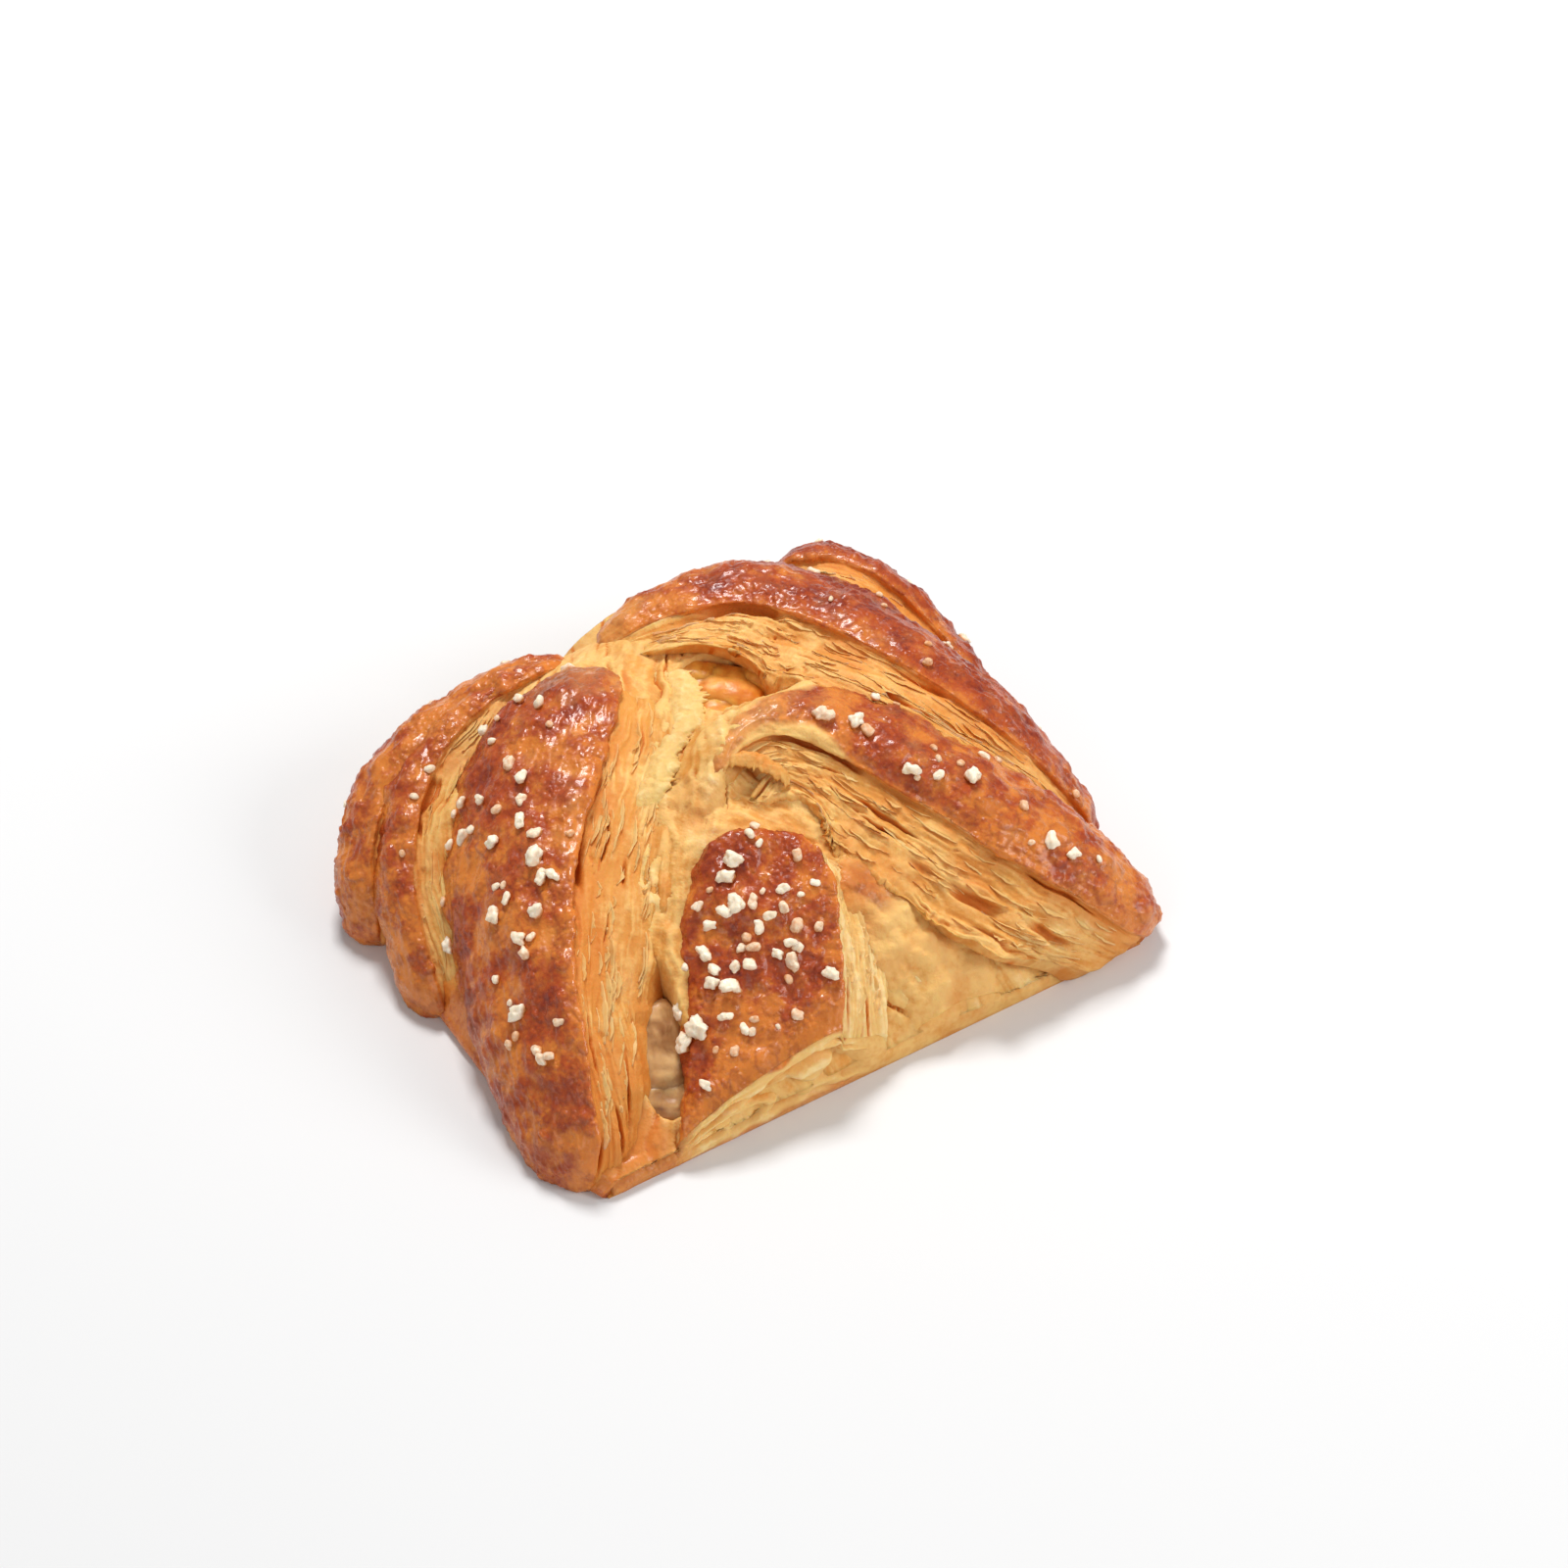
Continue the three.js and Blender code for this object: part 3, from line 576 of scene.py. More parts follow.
base = {                                # the dough under the strips
    "top": 33, "halfWidth": 59.5, "front": 50, "back": 48,
    "sheetHalfWidth": 56, "sheetEdge": 4, "backRounding": 12, "frontRounding": 4,
    "frontCut": -40, "backCut": 52, "step": 0.38,
    "meetX": 6.5, "meetY": 25.5, "meetSlope": 0.42,     # where the layers of the left and the right side meet
    "amberCorner": (-40, -32),          # where the front left corner is smooth and amber
    # Dough swells up round a strip from the share "start" on, to "fall" below its crest. It drops off by
    # "slope" all round, and by "front" more ahead of the strip.
    "collars": {
        "strip_long_left": {"start": 0.88, "fall": 2.4, "slope": 0.3, "front": 0},
        "strip_front_right": {"start": 0.80, "fall": 0.2, "slope": 0.26, "front": 0.8},
        "strip_back_right": {"start": 0.9, "fall": 2.4, "slope": 0.3, "front": 0},
    },
}
openings = {                            # where the braid is open and the apple shows
    "back": {"x": 9.8, "y": 21.8, "length": 9.0, "width": 6.6, "turn": -38, "floor": 20},
    "front": {"x": -34.0, "y": -25.4, "length": 9.8, "width": 3.9, "turn": 71, "floor": 3},
}


def moundHeight(x, y):
    across = np.clip(1 - np.abs(x / base["halfWidth"]) ** 2.2, 0, 1) ** 0.9
    front = np.clip(1 - (np.clip(moundMiddle - y, 0, None) / base["front"]) ** 2, 0, 1) ** 0.8
    back = np.clip(1 - (np.clip(y - moundMiddle, 0, None) / base["back"]) ** 6, 0, 1) ** 0.5
    return base["top"] * across * front * back


def collarHeight(x, y):                 # the dough swells up round the strips' ends at the middle
    height = np.zeros(x.shape)
    for name, collar in base["collars"].items():
        swept = shaped[name]
        forward = swept["forward"]
        crest = swept["grid"][:, swept["at"].searchsorted(crestRow)]
        for station in np.where(swept["t"] > collar["start"])[0][::4]:
            share = (swept["t"][station] - collar["start"]) / (1 - collar["start"])
            dx, dy = x - crest[station, 0], y - crest[station, 1]
            away = np.hypot(dx, dy)
            ahead = dx * forward[station, 0] + dy * forward[station, 1]
            high = crest[station, 2] - collar["fall"] * (1 + 0.3 * share) - collar["slope"] * away
            high = high - 0.05 * away ** 2 - collar["front"] * np.clip(ahead, 0, None)
            height = np.maximum(height, np.where(away < 14, high, 0))
    return height


def sheetWidth(y):
    return (base["sheetHalfWidth"] - base["backRounding"] * np.clip((y - 30) / 22, 0, 1) ** 2.2
            - base["frontRounding"] * np.clip((-25 - y) / 15, 0, 1) ** 2)


def openingDepth(x, y, opening):        # 1 inside an opening, 0 outside, with a torn rim
    turn = math.radians(opening["turn"])
    dx, dy = x - opening["x"], y - opening["y"]
    along = (dx * math.cos(turn) + dy * math.sin(turn)) / opening["length"]
    across = (-dx * math.sin(turn) + dy * math.cos(turn)) / opening["width"]
    torn = 0.1 * noise(np.stack([x, y, x * 0], -1), 2.2, 71, 2)
    return 1 - ramp(np.hypot(along, across) + torn, 0.9, 1.2)


def baseLayers(x, y, flat):             # the layers of the two sides, which meet along a line; then the puffs
    rightward = x - base["meetX"] - (y - base["meetY"]) * base["meetSlope"] + 2.5 * noise(flat, 8, 72)
    rightward = ramp(rightward, -1.2, 1.2)
    wavyX, wavyY = x + 2.2 * noise(flat, 9, 79, 2), y + 2.2 * noise(flat, 9, 80, 2)
    left = layerRelief(0.56 * wavyX + 0.83 * wavyY, 0.83 * wavyX - 0.56 * wavyY, 7300, -0.05, 1.2, 0)
    right = layerRelief(-0.7 * wavyX + 0.71 * wavyY, -0.71 * wavyX - 0.7 * wavyY, 7400, -0.05, 1.2, 0)
    height, gap, lift = (a + (b - a) * rightward for a, b in zip(left, right))
    puffed = ramp(noise(flat, 7, 81, 2), -0.3, 0.4)
    height = height + 0.9 * noise(flat, 8, 75, 2) + puffed * 0.4 * bubbles(flat, 2.2, 82, 0.5)
    height = height + 0.35 * noise(flat, 2.6, 76, 2) + 0.25 * noise(flat, 1.3, 84)
    return height, gap, np.clip(lift + 0.3 * puffed, 0, 1.3)


def edgeWall(edge, heights, outward):   # the sheet's rounded edge down to the ground
    columns = []
    for share in heights:
        column = edge.copy()
        column[:, 2] *= share
        column[:, 0] += outward * 0.8 * math.sin(math.pi * share)
        columns.append(column)
    return np.stack(columns, 1)


def makeBase():
    rows = int((base["backCut"] - base["frontCut"]) / base["step"])
    columns = int(2 * base["sheetHalfWidth"] / base["step"])
    y = np.linspace(base["frontCut"] + 0.3, base["backCut"] - 0.3, rows)[:, None]
    across = np.linspace(1, -1, columns)[None]
    x = sheetWidth(y) * across
    y = np.broadcast_to(y, x.shape)
    z = np.maximum(np.maximum(moundHeight(x, y), base["sheetEdge"]), collarHeight(x, y))
    side = (1 - np.abs(across)) * sheetWidth(y)     # distance in from the sheet's edge
    z = z - base["sheetEdge"] * 0.5 * (1 - ramp(side, 0, 1.6))
    flat = np.stack([x, y, z], -1)
    height, gap, lift = baseLayers(x, y, flat)
    calm = ramp(side, 0, 3) * (1 - ramp(y, 39, 44)) * 0.9 + 0.1
    cornerX, cornerY = base["amberCorner"]
    amber = (ramp(-x + 1.5 * noise(flat, 5, 83, 2), -cornerX - 4, -cornerX + 1)
             * ramp(-y + 0.4 * (-x + cornerX), -cornerY - 2, -cornerY + 2))
    out = gridNormals(flat)
    flat = flat + out * np.sign(out[..., 2:]) * (height * calm * (1 - 0.8 * amber))[..., None]
    flat[..., 2] -= 0.9 * ramp(base["frontCut"] + 2.6 - y, 0, 2.3) ** 2 * (1 - 0.5 * (flat[..., 2] < 3))
    toast = 0.2 + 0.3 * noise(flat, 14, 77) + 0.25 * noise(flat, 3, 85, 2)
    for opening in openings.values():
        inside = openingDepth(x, y, opening)
        flat[..., 2] += (opening["floor"] - flat[..., 2]) * inside * (flat[..., 2] > opening["floor"])
        # painted shade: inside an opening the dough takes the gaps' shade colour, and more toast
        gap = np.maximum(gap, inside * 0.55)
        toast = np.maximum(toast, inside * 0.7)

    left, right = flat[:, -1], flat[:, 0]
    shares = np.linspace(1, 0, 9)[1:]
    bottom = np.stack([left + (right - left) * f for f in (0.2, 0.4, 0.6, 0.8)], 1)
    bottom[..., 2] = 0
    grid = np.concatenate([flat, edgeWall(left, shares, -1), bottom, edgeWall(right, shares[::-1], 1)], 1)
    extra = grid.shape[1] - flat.shape[1]

    def widen(field, value):            # the walls and the bottom have the same value all over
        return np.concatenate([field, np.full((rows, extra), value)], 1)

    edgeCrust = np.maximum(1 - ramp(side + 0.8 * noise(flat, 4, 78), 1.0, 4.0), 0.6 * amber)
    toast = np.clip(np.maximum(toast, 0.8 * amber), 0, 1)
    swept = {
        "grid": grid, "crust": widen(edgeCrust, 1.0), "brown": widen(0.3 - 0.25 * amber, 0.45),
        "blister": widen(0 * gap, 0.0), "gap": widen(gap, 0.0), "lift": widen(lift, 0.5),
        "toast": widen(toast, 0.6),
    }
    return ringMesh("braid_base", insetCut(insetCut(swept, True), False), -1), flat


basePiece, baseTop = makeBase()
print("base", len(basePiece.data.polygons))


cutEnd = {                              # the two faces where the braid is cut off
    "step": 0.31, "rows": 72, "thickness": 3.8,
    "hollow": 1.7,                      # depth of the hollows between the layers
    "layers": 11.0, "usualHeight": 13,  # a face taller than usual has more layers, not thicker ones
}
cutFaces = {                            # place, which way is inward, and from which x on it is smooth
    "front_cut_face": {"y": base["frontCut"], "inward": 1, "seed": 8100, "smoothFrom": -4},
    "back_cut_face": {"y": base["backCut"], "inward": -1, "seed": 8200, "smoothFrom": 99},
}
frontHalf = float(sheetWidth(base["frontCut"]))


def cutSurface(face, top, x, t):        # the cut face's points, and what its material reads
    inward, seed, smoothFrom = face["inward"], face["seed"], face["smoothFrom"]
    x = np.broadcast_to(x[None], (len(t), len(x)))
    z = t * top[None]
    q = t * cutEnd["layers"] * max(1, top.max() / cutEnd["usualHeight"]) + 0 * x
    height, gap, lift = layerRelief(x, q, seed, 0.12)
    flat = np.stack([x, np.full_like(x, face["y"]), z], -1)
    cell = streaks(x, q + 0.8 * streaks(x, q, 16, 5, seed + 13), 11, 3.6, seed + 9)
    hollow = ramp(np.abs(cell), 0.06, 0.3) * ramp(t, 0.1, 0.25) * (1 - ramp(t, 0.72, 0.9))
    hollow = hollow * min(1, 16 / top.max())
    corner = ramp(np.abs(x), frontHalf - 18, frontHalf - 11)
    smooth = np.maximum(ramp(x, smoothFrom - 4, smoothFrom + 2), corner)
    hollow = hollow * (1 - smooth)
    height = height * 0.5 * (1 - smooth) * (1 - 0.6 * hollow)
    waxy = 0.3 * noise(flat, 5, seed + 14, 2)
    gap = gap * (1 - smooth)
    recess = hollow * cutEnd["hollow"] * np.clip(top / 9, 0, 1)
    recess = recess - height * 0.7 + 0.35 * noise(flat, 6, seed + 10, 2)
    recess = np.clip(recess, -0.35, 3.5) * ramp(t, 0, 0.06) * (1 - ramp(t, 0.86, 0.96))
    rollFrom = 0.93 - 0.58 * corner - 0.4 * (smooth - corner)
    rolled = np.clip((t - rollFrom) / (1 - rollFrom), 0, 1)     # the upper edge rolls back
    flat[..., 1] += inward * (recess + (1.3 + 2 * corner) * rolled ** 2)
    flat[..., 2] += 0.25 * np.sin(rolled * math.pi / 2) * (1 - smooth)
    rim = (ramp(t + 0.05 * noise(flat, 3, seed + 11), 0.955, 0.985) + 0 * x) * (1 - smooth)
    foot = 1 - ramp(t + 0.04 * noise(flat, 3, seed + 12), 0.05, 0.14)
    # painted shade: the hollows between the layers are coloured darker, with more gap shade and less paleness
    return flat, {
        "crust": np.clip(np.maximum(rim, foot * (0.7 - 0.5 * smooth)) + 0.8 * corner, 0, 1),
        "brown": 0.3 + 0 * z, "blister": 0 * z, "gap": np.clip(gap * 0.2 + hollow * 0.22, 0, 1),
        "lift": np.clip((lift + 0.45 - 0.5 * hollow) * (1 - smooth) + (0.6 + waxy) * smooth, 0, 1.3),
        "toast": (0.2 - waxy) * smooth + 0.4 * foot + 0 * z,
    }


def makeCutEnd(name, topAt):            # a slab: the cut surface in front, and a plain back that closes it
    face = cutFaces[name]
    half = float(sheetWidth(face["y"]))
    x = np.arange(-half, half, cutEnd["step"])
    flat, attributes = cutSurface(face, topAt(x), x, np.linspace(0, 1, cutEnd["rows"])[:, None])
    rows, columns = flat.shape[:2]
    i, j = np.meshgrid(np.arange(rows - 1), np.arange(columns - 1), indexing="ij")
    corner = i * columns + j
    quads = np.stack([corner, corner + 1, corner + columns + 1, corner + columns], -1).reshape(-1, 4)
    uvs = quadUvs(j / columns, i / rows, 1 / columns, 1 / rows)
    edge = ([(0, c) for c in range(columns)] + [(r, columns - 1) for r in range(1, rows)]
            + [(rows - 1, c) for c in range(columns - 2, -1, -1)] + [(r, 0) for r in range(rows - 2, 0, -1)])
    behind = np.array([flat[r, c] for r, c in edge])
    behind[:, 1] = face["y"] + face["inward"] * cutEnd["thickness"]
    front = [r * columns + c for r, c in edge]
    back = [rows * columns + n for n in range(len(edge))]
    sides = [list(side) for side in zip(front, back, back[1:] + back[:1], front[1:] + front[:1])]
    closing = back[::-1]
    if face["inward"] < 0:              # turned so that every face looks outward
        quads, uvs = quads[:, ::-1], uvs[:, ::-1]
        sides = [side[::-1] for side in sides]
        closing = closing[::-1]
    extra = 4 * len(sides) + len(closing)
    uvs = np.concatenate([uvs.reshape(-1, 2) * 0.96 + 0.01, np.full((extra, 2), 0.99)])
    for field, values in attributes.items():
        attributes[field] = np.concatenate([values.ravel(), [values[r, c] for r, c in edge]])
    points = np.concatenate([flat.reshape(-1, 3), behind])
    return addMesh(name, points, quads.tolist() + sides + [closing], uvs, attributes)


def frontTop(x):                        # height of the front cut: the highest of the dough that it cuts
    top = np.interp(x, baseTop[0, ::-1, 0], baseTop[0, ::-1, 2])
    top = np.where(np.abs(x) > frontHalf - 1.0, 0.4, top)
    for name in ("tongue_front", "strip_stub_right"):
        edge = shaped[name]["grid"][0]
        for a, b in zip(edge, np.roll(edge, -1, axis=0)):
            hit = (x >= min(a[0], b[0])) & (x <= max(a[0], b[0]))
            z = a[2] + (b[2] - a[2]) * (x - a[0]) / ((b[0] - a[0]) or 1e-9)
            top = np.where(hit, np.maximum(top, z), top)
    return top


def backTop(x):
    return np.interp(x, baseTop[-1, ::-1, 0], baseTop[-1, ::-1, 2])


for name, topAt in (("front_cut_face", frontTop), ("back_cut_face", backTop)):
    piece = makeCutEnd(name, topAt)
    print("cut end", name, len(piece.data.polygons))


filling = {
    "skin": 4, "floor": 3, "rim": 5,    # dough over the filling, and heights of its underside and its edge
    "longest": 37, "rays": 180, "rings": 70,
}
softApple = {                           # cubes of apple gone soft: squarer than a ball, and lumpy
    "rows": 26, "columns": 40, "squareness": 0.7,
    "pieces": [                         # x, y, z, half sizes, turn, tilt down along its length, lumpiness
        (9.2, 25.0, 26.8, 8.0, 5.4, 4.2, -42, 0, 0.6),
        (15.6, 21.4, 28.4, 5.6, 2.0, 3.0, -62, 0, 0.6),
        (5.6, 30.0, 28.2, 6.0, 3.0, 3.4, -30, 0, 0.6),
        (5.6, 20.6, 26.4, 4.4, 4.0, 3.6, 60, 0, 0.6),
        (-33.4, -24.6, 10.2, 8.4, 4.6, 3.2, 249, 26, 1.1),
        (-36.4, -31.0, 6.4, 4.8, 4.4, 2.6, 236, 22, 1.2),
        (-32.4, -18.6, 11.4, 3.4, 3.2, 3.0, 250, 20, 0.9),
    ],
}


def makeFilling():                      # the body of the filling, a little below the mound's surface
    angle = np.linspace(0, 2 * math.pi, filling["rays"], endpoint=False)
    distance = np.arange(0, filling["longest"] + 0.25, 0.25)
    reach = np.zeros_like(angle)
    for k, a in enumerate(angle):
        mound = moundHeight(distance * math.cos(a), moundMiddle + distance * math.sin(a))
        reach[k] = distance[mound > filling["rim"] + filling["skin"]][-1]
    share = np.linspace(1, 0.004, filling["rings"])[:, None]
    x = share * (reach * np.cos(angle))[None]
    y = moundMiddle + share * (reach * np.sin(angle))[None]
    z = np.maximum(moundHeight(x, y) - filling["skin"], filling["rim"])
    grid = np.stack([x, y, z], -1)
    grid[..., 2] -= 0.6 + 0.5 * noise(grid, 5, 91, 2) - 0.5 * bubbles(grid, 6, 92)
    under = grid[:1].copy()
    under[..., 2] = filling["floor"]
    grid = np.concatenate([under, grid])
    none = np.zeros(grid.shape[:2])
    swept = {"grid": grid, "crust": none, "brown": none, "blister": none,
             "gap": np.clip(0.5 + 0.5 * noise(grid, 3, 93), 0, 1), "lift": none + 0.4, "toast": none + 0.5}
    return ringMesh("apple_filling_jelly", swept, 1)


def ballAngles(rows, columns, pole):    # u round the ball, v from one pole to the other, short of both
    v = np.linspace(pole, math.pi - pole, rows)[:, None]
    u = np.linspace(0, 2 * math.pi, columns, endpoint=False)[None]
    return u, v


def power(value, exponent):             # keeps the sign: below 1 it makes a ball squarer
    return np.sign(value) * np.abs(value) ** exponent


def makeApplePieces():
    rings, tone = [], []
    u, v = ballAngles(softApple["rows"], softApple["columns"], 0.03)
    parts = np.cos(u), np.sin(u), np.cos(v), np.sin(v)
    cosU, sinU, cosV, sinV = (power(part, softApple["squareness"]) for part in parts)
    ball = np.stack([cosU * sinV, sinU * sinV, cosV + 0 * u], -1)
    for n, (x, y, z, a, b, c, turn, tilt, lumpy) in enumerate(softApple["pieces"]):
        local = ball * np.array([a, b, c])
        ridges = noise(local * [2.2, 0.5, 0.5] + 40 * n, 3.4, 97, 2)
        apart = local + 40 * n          # so that no two cubes are alike
        lumps = 0.55 * noise(apart, 3.2, 94, 2) + 0.4 * ridges + 0.12 * noise(apart, 1.1, 95)
        local = local + lumpy * unit(ball) * lumps[..., None]
        turned, tilted = math.radians(turn), math.radians(tilt)
        along = local[..., 0] * math.cos(tilted) + local[..., 2] * math.sin(tilted)
        up = local[..., 2] * math.cos(tilted) - local[..., 0] * math.sin(tilted)
        grid = np.stack([along * math.cos(turned) - local[..., 1] * math.sin(turned) + x,
                         along * math.sin(turned) + local[..., 1] * math.cos(turned) + y, up + z], -1)
        rings.append(grid)
        tone.append(np.clip(0.5 + 0.45 * noise(grid, 3, 96 + n, 2) - 0.5 * ridges, 0, 1).ravel())
    points, faces = joinRings(rings)
    pale = (points[:, 1] < 0).astype(float)     # the apple in the front opening is paler and greyer
    return addMesh("apple_pieces", points, faces, None, {"gap": np.concatenate(tone), "pale": pale})


jelly = makeFilling()
apple = makeApplePieces()
print("filling", len(jelly.data.polygons) + len(apple.data.polygons))


flaking = {                             # thin flakes that stand away from the layers
    "thickness": 0.07, "long": (3.0, 12.0), "wide": (0.35, 1.1), "lifted": (0.1, 0.55),
    "columns": 16, "rows": 5,
    "counts": {
        "strip_long_left": 90, "strip_back_right": 110, "strip_front_right": 90, "tongue_front": 40,
        "strip_stub_right": 24, "strip_narrow_left": 30, "lobe_back_left": 8, "lobe_back_right": 14,
    },
}


def flakeSheets(random, swept, usable):     # upper and lower side of one flake, as grids of points
    grid, normals = swept["grid"], swept["normals"]
    stations, lines = grid.shape[:2]
    columns, rows = flaking["columns"], flaking["rows"]
    j = int(random.choice(usable))
    long = random.uniform(*flaking["long"])
    wide = random.uniform(*flaking["wide"])
    raised = random.uniform(*flaking["lifted"]) * random.uniform(0.3, 1)
    half = int(long / stripMake["alongStep"] / 2)
    i = int(random.integers(int(stations * 0.06) + half, int(stations * 0.96) - half))
    along = np.linspace(i - half, i + half, columns)
    low = np.clip(along.astype(int), 0, stations - 2)
    part = (along - low)[:, None]
    root = grid[low, j] * (1 - part) + grid[low + 1, j] * part
    out = unit(normals[low, j])
    side = unit(grid[low, min(j + 3, lines - 1)] - grid[low, max(j - 3, 0)])
    profile = np.sin(np.linspace(0.04, 0.96, columns) * math.pi) ** 0.7
    waves = np.interp(np.arange(columns), np.arange(0, columns, 3), random.uniform(-1, 1, 6))
    profile = profile * (1 + 0.3 * waves + 0.08 * random.uniform(-1, 1, columns))
    share = np.linspace(0, 1, rows)[None, :, None]
    curl = raised * share ** 1.4 * (1 + 0.15 * random.uniform(-1, 1, columns))[:, None, None]
    upper = root[:, None] + side[:, None] * share * (wide * profile)[:, None, None]
    upper = upper + out[:, None] * (curl + 0.05) - out[:, None] * 0.25 * (1 - share)    # its root sinks in
    return upper, upper - out[:, None] * flaking["thickness"]


def makeFlakes():
    random = np.random.default_rng(5)
    columns, rows = flaking["columns"], flaking["rows"]
    size = columns * rows
    oneFlake = []                       # the faces of one flake: both sides and the rim between them
    for a in range(columns - 1):
        for b in range(rows - 1):
            p = a * rows + b
            oneFlake.append([p, p + rows, p + rows + 1, p + 1])
            oneFlake.append([size + p + 1, size + p + rows + 1, size + p + rows, size + p])
    rim = ([a * rows for a in range(columns)] + [(columns - 1) * rows + b for b in range(1, rows)]
           + [a * rows + rows - 1 for a in range(columns - 2, -1, -1)] + list(range(rows - 2, 0, -1)))
    for a, b in zip(rim, rim[1:] + rim[:1]):
        oneFlake.append([b, a, size + a, size + b])
    points, faces, lift = [], [], []
    for name, count in flaking["counts"].items():
        swept = shaped[name]
        usable = np.where((swept["q"].mean(0) > 0.8) & (swept["at"] < footRow - 0.3))[0]
        for n in range(count):
            first = 2 * size * len(lift)
            points.extend(sheet.reshape(-1, 3) for sheet in flakeSheets(random, swept, usable))
            lift.append(np.full(2 * size, random.uniform(0.45, 1.0)))
            faces.extend([first + corner for corner in face] for face in oneFlake)
    lift = np.concatenate(lift)
    attributes = {"lift": lift, "toast": 0.3 + 0 * lift}
    return addMesh("dough_flakes", np.concatenate(points), faces, None, attributes)


flakes = makeFlakes()
print("flakes", len(flakes.data.polygons))

tornSheets = {                          # the free edge of each torn sheet, and from there to its root
    "torn_sheet_opening": {
        "edge": [(5.2, 29.4, 33.2), (5.0, 25.2, 33.2), (3.9, 21.4, 33.4), (2.4, 18.6, 33.4),
                 (-0.4, 15.8, 33.2), (-3.6, 13.2, 33.2), (-7, 10.2, 33.2), (-10.4, 6.8, 32.8),
                 (-14, 3.6, 31.8)],
        "root": (-6.5, 3.2, -0.8), "teeth": 1.5, "bulge": 0.8, "thick": 0.5, "lift": 0.95, "toast": 0.0,
        "seed": 51, "side": 1,
    },
    "torn_sheet_hook": {
        "edge": [(-4.6, 2.2, 36.2), (-3.2, 0.6, 36.6), (-0.6, -0.8, 36.2), (1.6, -3.2, 35),
                 (3.2, -5.8, 33.6)],
        "root": (2.6, 3.4, 0.9), "teeth": 0.9, "bulge": 0.6, "thick": 0.3, "lift": 0.45, "toast": 0.6,
        "seed": 52, "side": -1,
    },
}


def makeTornSheet(name, sheet):         # ragged at its free edge, rooted in the dough
    rows, columns = 190, 30
    t = np.linspace(0, 1, rows)
    edge = curveAt(sheet["edge"], t)
    run = runAlong(edge)
    seed, teeth = sheet["seed"] * 100, sheet["teeth"]
    root = np.array(sheet["root"])
    length = np.linalg.norm(root)
    v = np.linspace(0, 1, columns)[None]
    s, q = np.broadcast_to(run[:, None], (rows, columns)), v * length + 0 * run[:, None]
    spike = np.clip(1 - 3.2 * np.abs(streaks(s, q, 1.5, 5, seed + 1)), 0, 1)
    spike = spike * ramp(streaks(s, q, 3, 9, seed + 7), -0.2, 0.3)
    torn = 0.9 * streaks(s, 0 * s, 5.5, 1, seed) + 0.5 * streaks(s, 0 * s, 2.2, 1, seed + 8)
    torn = -torn + 0.25 * streaks(s, q, 0.7, 1.2, seed + 2) - 0.9 * spike
    tapered = np.sin(np.clip(t * (1 - t) * 8, 0, 1) * math.pi / 2)[:, None]     # 0 at both ends of the edge
    back = np.clip(teeth * (0.5 + torn), -1.2 * teeth, 3) * (1 - v) ** 2 + 1.5 * (1 - tapered) * (1 - v)
    top = edge[:, None] + root * (v + back / length)[..., None]
    rough = 0.3 * noise(top, 2.4, seed + 3, 2) + 0.22 * noise(top, 1.0, seed + 4)
    rough = rough + 0.3 * bubbles(top, 1.8, seed + 5, 0.6)
    raised = sheet["bulge"] * np.sin(v * math.pi) ** 0.7 + rough * (0.4 + 0.6 * v) - 1.4 * v ** 4
    top[..., 2] += raised * tapered - 0.8 * (1 - tapered)
    under = top[:, ::-1].copy()
    under[..., 2] -= sheet["thick"] * (0.25 + 1.2 * (1 - v)) + 0.2
    grid = np.concatenate([top, under], 1)
    none = np.zeros(grid.shape[:2])
    lift = np.concatenate([sheet["lift"] + 0.5 * rough, none[:, :columns] + 0.3], 1)
    toast = np.concatenate([sheet["toast"] + 0.4 * noise(top, 5, seed + 6, 2), none[:, :columns] + 0.5], 1)
    swept = {"grid": grid, "crust": none, "brown": none, "blister": none, "gap": none,
             "lift": np.clip(lift, 0, 1.4), "toast": np.clip(toast, 0, 1)}
    return ringMesh(name, swept, sheet["side"])


for name, sheet in tornSheets.items():
    piece = makeTornSheet(name, sheet)
    print("torn sheet", name, len(piece.data.polygons))


view = {                                # the photograph's camera, by the point that it turns about
    "azimuth": -32.0, "elevation": 45.0, "lens": 90.0, "sensor": 36.0, "picture": 1600.0,
    "pixelsPerMm": 6.0, "pointAt": (770.0, 935.0),
}


def cameraFrame():                      # the camera's axes, place and focal length in pixels, in mm
    a, e = math.radians(view["azimuth"]), math.radians(view["elevation"])
    back = np.array([math.sin(a) * math.cos(e), -math.cos(a) * math.cos(e), math.sin(e)])
    right = np.array([math.cos(a), math.sin(a), 0.0])
    up = np.cross(back, right)
    focal = view["picture"] * view["lens"] / view["sensor"]
    aside = (np.array(view["pointAt"]) - view["picture"] / 2) / view["pixelsPerMm"]
    place = back * focal / view["pixelsPerMm"] - right * aside[0] + up * aside[1]
    return right, up, back, place, focal


def toPicture(points):                  # where points in mm fall in the photograph, in pixels
    right, up, back, place, focal = cameraFrame()
    away = points - place
    depth = -(away @ back)
    half = view["picture"] / 2
    return np.stack([half + focal * (away @ right) / depth, half - focal * (away @ up) / depth], -1)


